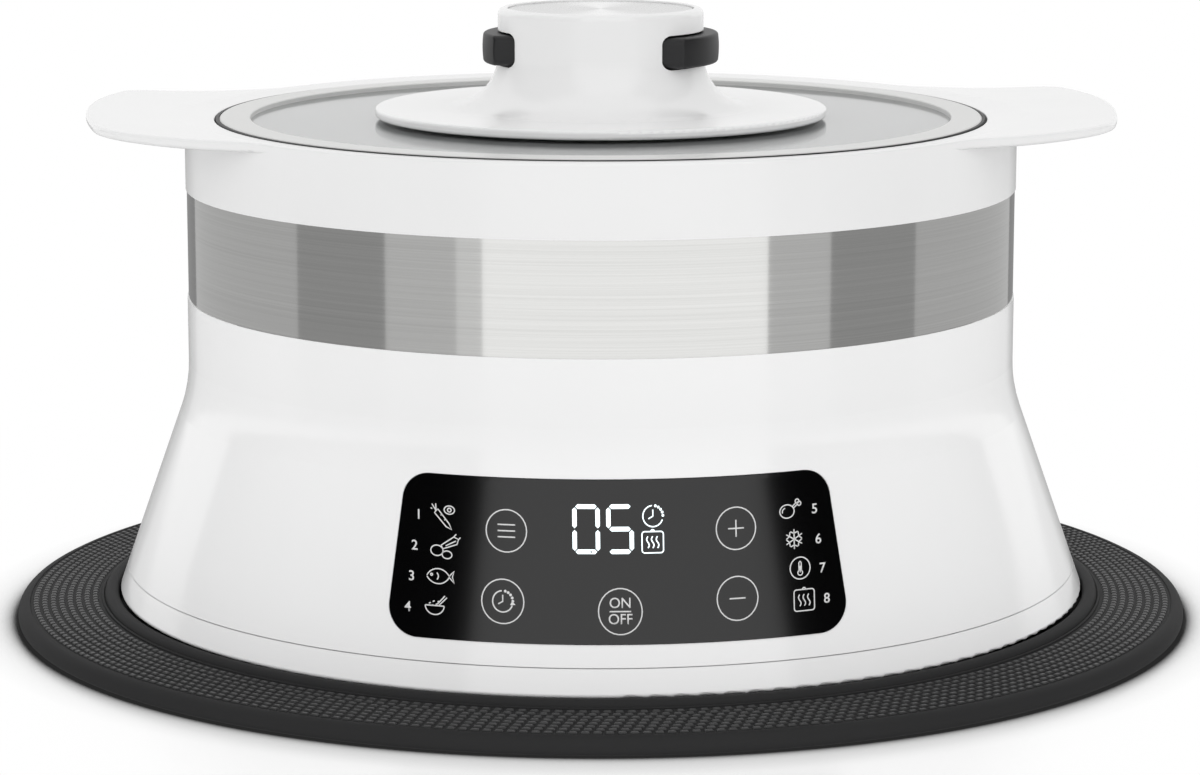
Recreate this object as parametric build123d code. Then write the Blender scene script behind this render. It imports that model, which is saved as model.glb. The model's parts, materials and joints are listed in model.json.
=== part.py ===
from build123d import *
import os
from math import cos, radians, sin, sqrt, tan

os.makedirs("parts", exist_ok=True)

# Electric food steamer on its table mat, in millimetres. +Z is up and the origin is the middle
# of the mat's underside. The control panel faces -Y and the two lifting ears point along X.
#
# Water boils in the tank over a heater plate. The steam climbs the chimney in the middle of the
# bowl, turns over under the cap and comes down on the food through the hub of the glass lid.

# ---------------------------------------------------------------- table mat
MAT_R = 200.0              # outer radius
MAT_RIM_T = 5.8            # thickness of the smooth outer rim
MAT_RIM_W = 4.0            # width of that rim
MAT_RIM_ROUND = 3.6        # rounding of its top edge
MAT_EDGE_ROUND = 1.4       # rounding of its lower edge
MAT_FIELD_DROP = 0.4       # outside of the textured field below the rim
MAT_FIELD_RISE = 1.3       # field rises this much towards the base
MAT_FLOOR_T = 3.0          # floor that the feet stand on
MAT_BEAD_W = 6.1           # raised bead round the base
MAT_BEAD_RISE = 2.6        # bead above the field
MAT_BEAD_GAP = 0.5         # bead clear of the base
MAT_BEAD_ROUND = 2.2

# ---------------------------------------------------------------- outside of the base
SKIRT_R = 165.6            # foot of the base
SKIRT_LIFT = 8.25          # its lower edge above the table
SKIRT_H = 8.8              # lower edge up to the seam
SKIRT_ROUND = 1.2
SEAM = 0.3                 # open seam between tray and shell
FLARE_DEG = 19.54          # slope of the flared wall from vertical
WALL_R = 140.6             # upright wall above the flare
WAIST_R = 50.0             # bend between flared and upright wall
WALL_T = 2.6               # moulded wall
BAND_Z = 109.25            # lower edge of the metal band above the table
BAND_H = 36.7
BAND_T = 0.6
BAND_INSET = 0.35          # band's face behind the upright wall
NECK_T = 2.8               # wall behind the band
TRAY_FLOOR_T = 2.5         # floor of the base tray
TRAY_FLOOR_LIFT = 1.75     # floor above the skirt's lower edge
TRAY_FOOT_W = 5.6          # solid foot ring of the skirt
LIP_H = 3.0                # tray's inner lip above the seam
LIP_T = 2.0
LIP_FIT = 0.15             # lip inside the shell
BOSS_R = 5.0               # screw bosses that join tray and shell
BOSS_PITCH_R = 140.0
BOSS_COUNT = 6
BASE_SCREW_R = 1.8
BASE_SCREW_HEAD_R = 3.8
BASE_SCREW_HEAD_H = 2.0
BASE_SCREW_REACH = 12.0    # thread inside the boss
FOOT_R = 9.0
FOOT_PITCH_R = 146.0
FOOT_STEM_R = 3.0
FOOT_STEM_H = 4.0
FOOT_COUNT = 4
VENT_COUNT = 20
VENT_W = 3.0
VENT_L = 22.0
VENT_PITCH_R = 106.0

# ---------------------------------------------------------------- control panel
PANEL_LOW_Z = 24.15        # lower edge above the table
PANEL_H = 47.9
PANEL_TOP_W = 130.8
PANEL_LOW_W = 144.2
PANEL_CORNER = 8.5
PANEL_PROUD = 0.25         # face of the fascia above the wall
PANEL_SINK = 1.35          # pocket in the wall
PANEL_FIT = 0.15           # gap round the fascia
KEY_HOLE_R = 7.0
KEYS = ((-34.6, 9.1), (-35.9, -12.7), (0.0, -15.2), (36.2, 9.2), (36.3, -12.5))   # middles
DISPLAY_W = 36.0
DISPLAY_H = 20.0
DISPLAY_UP = 9.3           # display above the middle of the panel
DISPLAY_GAP = 3.0          # front of the display behind the outer face
DISPLAY_FIT = 1.0
BOARD_W = 100.0
BOARD_H = 44.0
BOARD_T = 1.6
BOARD_DEPTH = 12.4         # face of the board behind the outer face
BOARD_INSET_X = 5.0        # screws in from the board's edges
BOARD_INSET_Y = 4.0
SMALL_BOSS_R = 3.2
SMALL_SCREW_R = 1.4
SMALL_HEAD_R = 2.8
SMALL_HEAD_H = 2.0
SMALL_REACH = 2.4
TOUCH_COIL_R = 3.6
TOUCH_WIRE_R = 0.35
TOUCH_TURNS = 4
BUZZER_R = 6.0
BUZZER_H = 5.0
BUZZER_X = -30.0
BUZZER_Y = 6.0
PLUG_W = 10.0              # plug of the display harness
PLUG_H = 8.0
PLUG_D = 5.0
PLUG_X = 35.0

# ---------------------------------------------------------------- tank and heater
LEDGE_DROP = 5.25          # tank ledge below the top of the neck
LEDGE_W = 2.9
LEDGE_T = 3.0
TANK_T = 1.5
TANK_FIT = 0.3
FLANGE_FIT = 0.2           # edges of the flanges of tank and bowl
TANK_Z = 42.0              # underside of the tank
TANK_BEND = 8.0
TRAY_SEAT_Z = 67.0         # seat of the drip tray
TRAY_SEAT_W = 8.7
PLATE_R = 62.0
PLATE_T = 6.0
PLATE_BOSS_R = 51.7        # part of the plate that fills the hole in the tank
SEAL_T = 2.0
SEAL_W = 6.0
SEAL_INSET = 2.0
CLAMP_W = 14.0
CLAMP_T = 3.0
CLAMP_LAP = 6.0            # clamp under the plate's edge
STUD_R = 2.2
STUD_COUNT = 4
STUD_FIT = 0.2
NUT_FLAT = 7.0
NUT_H = 2.5
STUD_END = 0.5             # stud beyond its nut
ELEMENT_R = 42.0
ELEMENT_W = 7.0
ELEMENT_H = 6.0
ELEMENT_ARC = 325.0
ELEMENT_ROUND = 2.8
PIN_INSET_DEG = 3.0        # pins in from the element's ends
PIN_R = 1.6
PIN_H = 5.0
THERMOSTAT_R = 8.0
THERMOSTAT_H = 7.0
THERMOSTAT_X = 18.0
FUSE_L = 22.0
FUSE_W = 7.0
FUSE_H = 5.0
FUSE_Y = 18.0

# ---------------------------------------------------------------- drip tray and bowl
DRIP_FIT = 0.3
DRIP_WALL_FIT = 0.5
DRIP_T = 2.0
DRIP_DEPTH = 10.5          # below its flange
DRIP_DRAFT = 3.0
DRIP_BEND = 4.0
DRIP_TUBE_H = 17.5         # tube above the underside
TUBE_FIT = 1.0             # chimney inside the drip tray's tube
CHIMNEY_R = 20.0           # outside of the chimney
CHIMNEY_T = 2.0
CHIMNEY_LAP = 10.0         # chimney down inside the tube
CHIMNEY_RISE = 1.0         # chimney above the hub
BOWL_T = 1.6
BOWL_FLANGE_T = 1.2
BOWL_DRAFT = 5.0           # narrower at the floor
BOWL_BEND = 12.0
BOWL_FLOOR_GAP = 4.0       # floor above the drip tray's tube
SLOT_W = 3.2
SLOT_L = 15.0
SLOT_ROWS = ((38.0, 14), (60.0, 22), (82.0, 30))   # ring radius and how many

# ---------------------------------------------------------------- collar with the ears
COLLAR_H = 23.9            # from the top of the neck to the rim
COLLAR_T = 2.5
COLLAR_WEB_T = 3.75
RIM_EDGE = 1.0             # rounding of the rim and the ears
RIM_W = 10.1               # rim, wall to lid seat
RIM_DISH = 0.8             # rim falls this much towards the lid seat
RIM_FLAT_W = 1.3           # level edge of the rim outside that fall
RIM_ROUND = 0.5            # edge of the lid seat
SEAT_DEPTH = 7.45          # lid seat below the rim
SEAT_W = 5.4
SEAT_T = 2.4
SPIGOT_FIT = 0.4           # spigot inside the neck
SPIGOT_T = 2.3
SPIGOT_GAP = 0.7           # spigot above the tank's flange
EAR_REACH = 173.0          # tip from the axis
EAR_ROOT_W = 168.0
EAR_TIP_W = 126.0
EAR_CORNER = 20.0
EAR_CROWN_R = 224.0        # outer edge is rounded in plan
EAR_WEB_R = 30.0           # fillet between ear and rim, in plan
EAR_START_X = 126.0        # where the ears start to rise and thin
EAR_BLEND_R = 151.0        # fall of the rim has met the ears within this radius
EAR_ROOT_T = 3.3
EAR_TIP_T = 2.4
EAR_RISE = 3.4             # tip above the rim

# ---------------------------------------------------------------- lid
LID_FIT = 0.3
GASKET_W = 1.2
GASKET_FOOT_T = 1.4
GASKET_DROP = 0.55         # top of the gasket below the rim
GASKET_ROUND = 0.4
GASKET_FIT = 0.2           # its foot clear of the ring
LID_RING_W = 10.5
LID_RING_LIP = 1.65        # ring above the glass
LID_RING_BEVEL = 0.6
GLASS_DROP = 2.0           # face of the glass below the rim
GLASS_T = 4.0
GLASS_GRIP = 3.1           # glass under the ring's lip
GLASS_EDGE_FIT = 0.2
HUB_R = 31.7               # outside of the hub's tube
HUB_T = 2.2
HUB_RISE = 6.75            # tube above the glass
HUB_FLANGE_R = 40.0
HUB_FLANGE_T = 1.95
HUB_FLANGE_ROUND = 0.65
HUB_NUT_T = 2.25
HUB_NOTCH_D = 1.1          # grip notches in the nut's edge
HUB_NOTCH_W = 4.4
HUB_NOTCH_COUNT = 8
HUB_SEAL_T = 1.0
HUB_FIT = 0.3              # hub in the hole of the glass

# ---------------------------------------------------------------- steam cap
CAP_FIT = 0.5              # cap over the hub
CAP_LIFT = 1.2             # disc above the glass
CAP_DISC_R = 76.5
CAP_DISC_T = 3.1
CAP_DISC_ROUND = 1.1
CAP_R = 34.8
CAP_H = 33.4               # above the disc
CAP_FILLET = 18.0
CAP_RIM_ROUND = 2.2
CAP_ROOF_T = 2.4
INLAY_R = 31.1
INLAY_T = 1.35
INLAY_GAP = 0.4
INLAY_DROP = 0.6           # inlay below the cap's top
INLAY_ROUND = 0.2
WELL_ROUND = 0.4           # edge of the cap round the inlay
CAP_SEAL_R = 46.0
CAP_SEAL_W = 4.0
CAP_SEAL_SINK = 1.9        # groove in the underside
CAP_TURN_DEG = 78.0        # right button from the front, towards +X
WINDOW_W = 48.7
WINDOW_H = 11.5
WINDOW_DROP = 7.5          # window below the cap's top
WINDOW_ROUND = 2.9
BUTTON_FIT = 0.35
BUTTON_EDGE_FIT = 0.7      # grip inside its window
BUTTON_R = 40.0            # grip face from the cap's axis
BUTTON_ROUND = 1.1
BUTTON_CROWN_R = 34.0      # upright curve of the grip face
BUTTON_LIP_T = 2.85
BUTTON_LIP_W = 2.4         # lip behind the edge of the window, each side
BUTTON_LIP_H = 1.2         # and above and below it
BUTTON_TRAVEL = 2.5
LATCH_SPRING_SOLID = 11.5  # spring with the button pressed home
SEAT_BOSS_R = 4.6
SEAT_BOSS_L = 5.0
GUIDE_T = 1.5
GUIDE_FIT = 0.4
GUIDE_POST_Y = 8.0
BUTTON_COIL_R = 3.8
BUTTON_WIRE_R = 0.45
BUTTON_TURNS = 6

# ---------------------------------------------------------------- power board and leads
POWER_Y = 92.0             # front edge of the board
POWER_W = 100.0
POWER_D = 46.0
POWER_T = 1.6
POWER_LIFT = 6.5           # on its standoffs
STANDOFF_R = 3.4
STANDOFF_INSET = 5.0
POWER_SCREW_REACH = 5.0
TERMINAL_W = 36.0
TERMINAL_D = 8.0
TERMINAL_H = 8.0
RELAY = (19.0, 15.5, 15.0)
RELAY_AT = (-28.0, 3.0)    # from the middle of the board
TRANSFORMER = (24.0, 20.0, 16.0)
TRANSFORMER_AT = (22.0, 6.0)
CAPACITOR_R = 5.0
CAPACITOR_H = 12.0
CAPACITOR_AT = (-4.0, 9.0)
SOCKET_SIZE = (8.0, 10.0, 7.0)
SOCKET_BACK = 7.0          # socket in front of the middle of the board
LEAD_R = 1.1
LEAD_BEND = 3.0
LEAD_DROP = 8.0            # from the terminals down to the run on the floor
LEAD_LIFT = 4.5            # run above the floor
HARNESS_R = 2.0
HARNESS_RUN_R = 127.0      # run round the tank
HARNESS_TURNS = (40.0, 64.0, 88.0, 110.0, 130.0)   # corners of that run, from the front
HARNESS_BEND = 12.0
HARNESS_STUB = 8.0         # straight out of the plug
HARNESS_LAST_RUN = 34.0    # straight into the socket
GLAND_Z = 32.0             # cord entry above the table
GLAND_BORE_R = 3.6
GLAND_T = 2.6
GLAND_FLANGE_R = 9.0
GLAND_FLANGE_T = 2.5
GLAND_FIT = 0.3
GLAND_TAIL = 5.0           # sleeve inside the shell
GLAND_NUT_R = 9.0
GLAND_NUT_T = 2.5
GLAND_PAD_R = 11.0
GLAND_PAD_T = 3.0
GLAND_POCKET = 3.5         # pocket floor inside the wall's face

# ---------------------------------------------------------------- places worked out from those
FLARE = radians(FLARE_DEG)
SLOPE = tan(FLARE)
SEAM_Z = SKIRT_LIFT + SKIRT_H
SHELL_Z = SEAM_Z + SEAM
FLOOR_Z = SKIRT_LIFT + TRAY_FLOOR_LIFT
FLOOR_TOP = FLOOR_Z + TRAY_FLOOR_T
NECK_TOP = BAND_Z + BAND_H
BAND_R = WALL_R - BAND_INSET
NECK_R = BAND_R - BAND_T
NECK_IN = NECK_R - NECK_T
LEDGE_TOP = NECK_TOP - LEDGE_DROP
LEDGE_IN = NECK_IN - LEDGE_W

TANK_R = LEDGE_IN - TANK_FIT
TANK_IN = TANK_R - TANK_T
TANK_FLANGE_TOP = LEDGE_TOP + TANK_T
TANK_LOW_IN = TANK_IN - TRAY_SEAT_W
TANK_LOW_R = TANK_LOW_IN + TANK_T
PLATE_TOP = TANK_Z - SEAL_T
PLATE_Z = PLATE_TOP - PLATE_T
STUD_PITCH_R = PLATE_R + (CLAMP_W - CLAMP_LAP) / 2
CLAMP_Z = PLATE_Z - CLAMP_T
PIN_Z = PLATE_Z - ELEMENT_H - PIN_H

RIM_Z = NECK_TOP + COLLAR_H
SEAT_R = WALL_R - RIM_W
SEAT_Z = RIM_Z - SEAT_DEPTH
SEAT_IN = SEAT_R - SEAT_W
BOWL_R = SEAT_IN - TANK_FIT
BOWL_FLANGE_TOP = SEAT_Z + BOWL_FLANGE_T

DRIP_LOW = TRAY_SEAT_Z - DRIP_DEPTH
DRIP_TUBE_IN = CHIMNEY_R + TUBE_FIT
DRIP_TUBE_R = DRIP_TUBE_IN + DRIP_T
DRIP_TUBE_TOP = DRIP_LOW + DRIP_TUBE_H
BOWL_LOW = DRIP_TUBE_TOP + BOWL_FLOOR_GAP
CHIMNEY_LOW = DRIP_TUBE_TOP - CHIMNEY_LAP

LID_R = SEAT_R - LID_FIT
RING_R = LID_R - GASKET_W
RING_IN = RING_R - LID_RING_W
GLASS_R = RING_IN + GLASS_GRIP
GLASS_TOP = RIM_Z - GLASS_DROP
GLASS_LOW = GLASS_TOP - GLASS_T
RING_LOW = BOWL_FLANGE_TOP + GASKET_FOOT_T
HUB_TOP = GLASS_TOP + HUB_RISE
CHIMNEY_TOP = HUB_TOP + CHIMNEY_RISE

DISC_LOW = GLASS_TOP + CAP_LIFT
DISC_TOP = DISC_LOW + CAP_DISC_T
CAP_TOP = DISC_TOP + CAP_H
CAP_IN = HUB_R + CAP_FIT
INLAY_TOP = CAP_TOP - INLAY_DROP
INLAY_LOW = INLAY_TOP - INLAY_T
ROOF_LOW = INLAY_LOW - CAP_ROOF_T
WINDOW_TOP = CAP_TOP - WINDOW_DROP
WINDOW_LOW = WINDOW_TOP - WINDOW_H
WINDOW_MID = (WINDOW_TOP + WINDOW_LOW) / 2
BUTTON_LIP_R = CAP_IN - BUTTON_FIT
BUTTON_BACK_R = BUTTON_LIP_R - BUTTON_LIP_T
SEAT_BOSS_X = BUTTON_BACK_R - SEAT_BOSS_L
GUIDE_POST_X = SEAT_BOSS_X - BUTTON_TRAVEL - LATCH_SPRING_SOLID

POWER_Z = FLOOR_TOP + POWER_LIFT
POWER_TOP = POWER_Z + POWER_T
POWER_MID_Y = POWER_Y + POWER_D / 2
SOCKET_X = (POWER_W - SOCKET_SIZE[0]) / 2
SOCKET_Y = POWER_MID_Y - SOCKET_BACK
BIG = 3 * MAT_R            # longer than anything it cuts
OVER = 1.0                 # a cutter runs past what it cuts by this
TOUCHING = 0.01            # points nearer than this are one


def flared_r(z):
    """Radius of the flared outer wall at height z."""
    return SKIRT_R - (z - SKIRT_LIFT) * SLOPE


def flared_z(r):
    """Height at which the flared outer wall has radius r."""
    return SKIRT_LIFT + (SKIRT_R - r) / SLOPE


PANEL_MID_Z = PANEL_LOW_Z + PANEL_H / 2
GLAND_FACE = flared_r(GLAND_Z) - GLAND_POCKET
GLAND_TAIL_Y = GLAND_FACE - GLAND_PAD_T - GLAND_TAIL
GLAND_SLEEVE_R = GLAND_BORE_R + GLAND_T
PANEL_PLANE = Plane(
    origin=(0, -flared_r(PANEL_MID_Z), PANEL_MID_Z),
    x_dir=(1, 0, 0),
    z_dir=(0, -cos(FLARE), sin(FLARE)),
)


# ---------------------------------------------------------------- shaping helpers
def face_of(corners):
    """Closed XZ face through (radius, height) corners; a third number rounds that corner."""
    points = [(c[0], c[1]) for c in corners]
    radii = [c[2] if len(c) > 2 else 0 for c in corners]
    if any(radii):
        outline = FilletPolyline(*points, radius=radii, close=True)
    else:
        outline = Polyline(*points, close=True)
    return Plane.XZ * make_face(outline)


def turned(*corners, arc=360):
    """Solid of revolution about Z."""
    return revolve(face_of(corners), Axis.Z, arc)


def ring(r_in, r_out, z_low, z_top):
    """Plain flat ring about Z."""
    return turned((r_in, z_low), (r_out, z_low), (r_out, z_top), (r_in, z_top))


def rod(radius, z_low, z_top, x=0.0, y=0.0):
    """Upright cylinder between two heights."""
    return Pos(x, y, (z_low + z_top) / 2) * Cylinder(radius, z_top - z_low)


def block(size, x, y, z_low):
    """Box of (width, depth, height) standing at z_low."""
    return Pos(x, y, z_low + size[2] / 2) * Box(*size)


def around(shape, count, start_deg=0.0):
    """Copies of a shape, evenly turned about Z."""
    return [Rot(0, 0, start_deg + 360 * i / count) * shape for i in range(count)]


def joined(shapes):
    """One part of several solids."""
    return Part() + list(shapes)


def coil(radius, wire_r, length, turns):
    """Spring along +Z from z = 0 to z = length."""
    run = length - 2 * wire_r
    path = Pos(0, 0, wire_r) * Helix(pitch=run / turns, height=run, radius=radius)
    section = Plane(origin=path @ 0, z_dir=path % 0) * Circle(wire_r)
    return sweep(section, path=path, is_frenet=True)


def bent_tube(points, radius, bend):
    """Round lead along straight runs joined by tangent arcs."""
    path = FilletPolyline(*points, radius=bend)
    return sweep(Plane(origin=path @ 0, z_dir=path % 0) * Circle(radius), path=path)


def wall_corners(inset, low, top, upright_r):
    """Corners of the flared and upright wall, set in from the outer face by inset."""
    across = inset / cos(FLARE)
    r = upright_r
    bend_z = flared_z(r + across)
    return [(flared_r(low) - across, low), (r, bend_z, WAIST_R + inset), (r, top)]


def wall_band(outer, inner):
    """Layer of the outer wall between two depths, with negative depths outside the wall."""
    low, top = SHELL_Z, BAND_Z
    outside = wall_corners(outer, low, top, WALL_R - outer)
    inside = wall_corners(inner, low, top, WALL_R - inner)
    return turned(*outside, *reversed(inside))


def wall_depth(x):
    """How far the wall curves back from the panel's middle plane at x."""
    r = flared_r(PANEL_MID_Z)
    return (r - sqrt(r * r - x * x)) * cos(FLARE)


def on_panel(shape, x=0.0, y=0.0, z=0.0):
    """Place a shape in the panel's plane: x right, y up the slope, z outwards."""
    return PANEL_PLANE * Pos(x, y, z) * shape


# ---------------------------------------------------------------- mat
def silicone_mat():
    bead_in = SKIRT_R + MAT_BEAD_GAP
    bead_out = bead_in + MAT_BEAD_W
    field_out = MAT_RIM_T - MAT_FIELD_DROP
    field_in = field_out + MAT_FIELD_RISE
    bead_top = field_in + MAT_BEAD_RISE
    rim_in = MAT_R - MAT_RIM_W
    return turned(
        (0, 0), (MAT_R, 0, MAT_EDGE_ROUND), (MAT_R, MAT_RIM_T, MAT_RIM_ROUND),
        (rim_in, MAT_RIM_T), (rim_in, field_out), (bead_out, field_in),
        (bead_out, bead_top, MAT_BEAD_ROUND), (bead_in, bead_top, MAT_BEAD_ROUND),
        (bead_in, MAT_FLOOR_T), (0, MAT_FLOOR_T),
    )


# ---------------------------------------------------------------- base
def within_wall():
    """Everything inside the middle of the outer wall."""
    inset = WALL_T / 2
    corners = wall_corners(inset, FLOOR_TOP, BAND_Z, WALL_R - inset)
    return turned((0, FLOOR_TOP), *corners, (0, BAND_Z))


def lip_r(z):
    """Outside of the tray's inner lip."""
    return flared_r(z) - (WALL_T + LIP_FIT) / cos(FLARE)


def ring_places(count, radius):
    """Evenly spaced places round the base, none of them at the front or the back."""
    step = 360 / count
    return [Rot(0, 0, step * (i + 0.5)) * Pos(0, -radius, 0) for i in range(count)]


def standoff_places():
    """Corners of the power board's screws."""
    x = POWER_W / 2 - STANDOFF_INSET
    rows = (POWER_Y + STANDOFF_INSET, POWER_Y + POWER_D - STANDOFF_INSET)
    return [(side * x, y) for side in (-1, 1) for y in rows]


def base_tray():
    foot_in = SKIRT_R - TRAY_FOOT_W
    lip_top = SEAM_Z + LIP_H
    shape = turned(
        (0, FLOOR_Z), (foot_in - TRAY_FLOOR_LIFT, FLOOR_Z), (foot_in, SKIRT_LIFT),
        (SKIRT_R, SKIRT_LIFT, SKIRT_ROUND), (flared_r(SEAM_Z), SEAM_Z), (lip_r(SEAM_Z), SEAM_Z),
        (lip_r(lip_top), lip_top), (lip_r(lip_top) - LIP_T, lip_top),
        (lip_r(FLOOR_TOP) - LIP_T, FLOOR_TOP), (0, FLOOR_TOP),
    )
    shape += [rod(STANDOFF_R, FLOOR_TOP, POWER_Z, x, y) for x, y in standoff_places()]
    screws = ring_places(BOSS_COUNT, BOSS_PITCH_R)
    feet = ring_places(FOOT_COUNT, FOOT_PITCH_R)
    cuts = [place * rod(BASE_SCREW_R, FLOOR_Z, FLOOR_TOP) for place in screws]
    cuts += [place * rod(FOOT_STEM_R, FLOOR_Z, FLOOR_TOP) for place in feet]
    cuts += [rod(SMALL_SCREW_R, POWER_Z - POWER_SCREW_REACH, POWER_Z, x, y)
             for x, y in standoff_places()]
    vent = block((VENT_L, VENT_W, TRAY_FLOOR_T), VENT_PITCH_R, 0, FLOOR_Z)
    cuts += around(vent, VENT_COUNT, 180 / VENT_COUNT)
    return shape - cuts


def panel_prism(grow):
    """Prism along Y with the panel's rounded outline, grown all round."""
    top, low = PANEL_TOP_W / 2 + grow, PANEL_LOW_W / 2 + grow
    z_low, z_top = PANEL_LOW_Z - grow, PANEL_LOW_Z + PANEL_H + grow
    face = face_of([(-low, z_low, PANEL_CORNER), (low, z_low, PANEL_CORNER),
                    (top, z_top, PANEL_CORNER), (-top, z_top, PANEL_CORNER)])
    return extrude(face, BIG, dir=(0, -1, 0))


def rod_along_y(radius, y_low, y_top):
    """Rod at the cord entry, through the back wall."""
    return Pos(0, (y_low + y_top) / 2, GLAND_Z) * Rot(90, 0, 0) * Cylinder(radius, y_top - y_low)


def board_corners():
    """Screws of the display board, in the panel's plane."""
    x, y = BOARD_W / 2 - BOARD_INSET_X, BOARD_H / 2 - BOARD_INSET_Y
    return [(sx * x, sy * y) for sx in (-1, 1) for sy in (-1, 1)]


def panel_rod(radius, z_low, z_top, x, y):
    """Rod square to the panel."""
    return on_panel(Cylinder(radius, z_top - z_low), x, y, (z_low + z_top) / 2)


def panel_box(width, height, z_low, z_top, x, y):
    """Box square to the panel."""
    return on_panel(Box(width, height, z_top - z_low), x, y, (z_low + z_top) / 2)


def housing_shell():
    outside = wall_corners(0, SHELL_Z, BAND_Z, WALL_R)
    inside = wall_corners(WALL_T, SHELL_Z, BAND_Z, WALL_R - WALL_T)
    haunch = WALL_R - WALL_T - NECK_IN
    shape = turned(
        *outside, (NECK_R, BAND_Z), (NECK_R, NECK_TOP), (NECK_IN, NECK_TOP),
        (NECK_IN, LEDGE_TOP), (LEDGE_IN, LEDGE_TOP), (LEDGE_IN, LEDGE_TOP - LEDGE_T),
        (NECK_IN, LEDGE_TOP - LEDGE_T - LEDGE_W), (NECK_IN, BAND_Z - WALL_T),
        (WALL_R - WALL_T, BAND_Z - WALL_T - haunch), *reversed(inside[:2]),
    )
    within = within_wall()
    boss_top = flared_z(BOSS_PITCH_R + WALL_T / cos(FLARE))
    screws = ring_places(BOSS_COUNT, BOSS_PITCH_R)
    shape += [(place * rod(BOSS_R, FLOOR_TOP, boss_top)) & within for place in screws]
    shape += [panel_rod(SMALL_BOSS_R, -BOARD_DEPTH, 0, x, y) & within for x, y in board_corners()]
    shape += rod_along_y(GLAND_PAD_R, GLAND_FACE - GLAND_PAD_T, GLAND_FACE + WALL_T) & within

    cuts = [wall_band(-2 * WALL_T, PANEL_SINK) & panel_prism(PANEL_FIT)]
    cuts += [panel_rod(KEY_HOLE_R, -BOARD_DEPTH, WALL_T, x, y) for x, y in KEYS]
    cuts += [panel_box(DISPLAY_W + 2 * DISPLAY_FIT, DISPLAY_H + 2 * DISPLAY_FIT,
                       -BOARD_DEPTH, WALL_T, 0, DISPLAY_UP)]
    cuts += [panel_rod(SMALL_SCREW_R, -BOARD_DEPTH, -BOARD_DEPTH + SMALL_REACH, x, y)
             for x, y in board_corners()]
    cuts += [place * rod(BASE_SCREW_R, FLOOR_TOP, FLOOR_TOP + BASE_SCREW_REACH)
             for place in screws]
    cuts += [rod_along_y(GLAND_FLANGE_R + GLAND_FIT, GLAND_FACE, GLAND_FACE + BIG),
             rod_along_y(GLAND_SLEEVE_R, GLAND_TAIL_Y, GLAND_FACE)]
    return shape - cuts


def steel_band():
    return ring(NECK_R, BAND_R, BAND_Z, NECK_TOP)


def rubber_feet():
    foot = rod(FOOT_R, MAT_FLOOR_T, FLOOR_Z) + rod(FOOT_STEM_R, FLOOR_Z, FLOOR_Z + FOOT_STEM_H)
    return joined(place * foot for place in ring_places(FOOT_COUNT, FOOT_PITCH_R))


def base_screws():
    screw = rod(BASE_SCREW_HEAD_R, FLOOR_Z - BASE_SCREW_HEAD_H, FLOOR_Z)
    screw += rod(BASE_SCREW_R, FLOOR_Z, FLOOR_TOP + BASE_SCREW_REACH)
    return joined(place * screw for place in ring_places(BOSS_COUNT, BOSS_PITCH_R))


def cord_gland():
    face = GLAND_FACE + GLAND_FLANGE_T
    shape = rod_along_y(GLAND_FLANGE_R, GLAND_FACE, face)
    shape += rod_along_y(GLAND_SLEEVE_R, GLAND_TAIL_Y, GLAND_FACE)
    return shape - rod_along_y(GLAND_BORE_R, GLAND_TAIL_Y, face)


def gland_nut():
    back = GLAND_FACE - GLAND_PAD_T
    return (rod_along_y(GLAND_NUT_R, back - GLAND_NUT_T, back)
            - rod_along_y(GLAND_SLEEVE_R, back - GLAND_NUT_T, back))


# ---------------------------------------------------------------- control panel
def control_fascia():
    return wall_band(-PANEL_PROUD, PANEL_SINK) & panel_prism(0)


def display_board():
    back = -BOARD_DEPTH - BOARD_T
    shape = panel_box(BOARD_W, BOARD_H, back, -BOARD_DEPTH, 0, 0)
    return shape - [panel_rod(SMALL_SCREW_R, back, -BOARD_DEPTH, x, y)
                    for x, y in board_corners()]


def display_module():
    return panel_box(DISPLAY_W, DISPLAY_H, -BOARD_DEPTH, -DISPLAY_GAP, 0, DISPLAY_UP)


def display_screws():
    back = -BOARD_DEPTH - BOARD_T
    return joined(
        panel_rod(SMALL_HEAD_R, back - SMALL_HEAD_H, back, x, y)
        + panel_rod(SMALL_SCREW_R, back, -BOARD_DEPTH + SMALL_REACH, x, y)
        for x, y in board_corners()
    )


def touch_springs():
    springs = []
    for x, y in KEYS:
        room = BOARD_DEPTH - PANEL_SINK - wall_depth(abs(x) + TOUCH_COIL_R)
        length = room - 2 * TOUCH_WIRE_R
        spring = coil(TOUCH_COIL_R, TOUCH_WIRE_R, length, TOUCH_TURNS)
        springs.append(on_panel(spring, x, y, -BOARD_DEPTH))
    return joined(springs)


def buzzer():
    back = -BOARD_DEPTH - BOARD_T
    return panel_rod(BUZZER_R, back - BUZZER_H, back, BUZZER_X, BUZZER_Y)


def display_plug():
    back = -BOARD_DEPTH - BOARD_T
    return panel_box(PLUG_W, PLUG_H, back - PLUG_D, back, PLUG_X, 0)


def display_harness():
    plug_back = -BOARD_DEPTH - BOARD_T - PLUG_D
    run_z = POWER_TOP + SOCKET_SIZE[2] / 2
    points = [PANEL_PLANE.from_local_coords((PLUG_X, 0, plug_back)),
              PANEL_PLANE.from_local_coords((PLUG_X, 0, plug_back - HARNESS_STUB))]
    for turn in HARNESS_TURNS:
        angle = radians(turn)
        points.append(Vector(HARNESS_RUN_R * sin(angle), -HARNESS_RUN_R * cos(angle), run_z))
    points.append(Vector(POWER_W / 2 + HARNESS_LAST_RUN, SOCKET_Y, run_z))
    points.append(Vector(POWER_W / 2, SOCKET_Y, run_z))
    return bent_tube(points, HARNESS_R, HARNESS_BEND)


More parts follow.
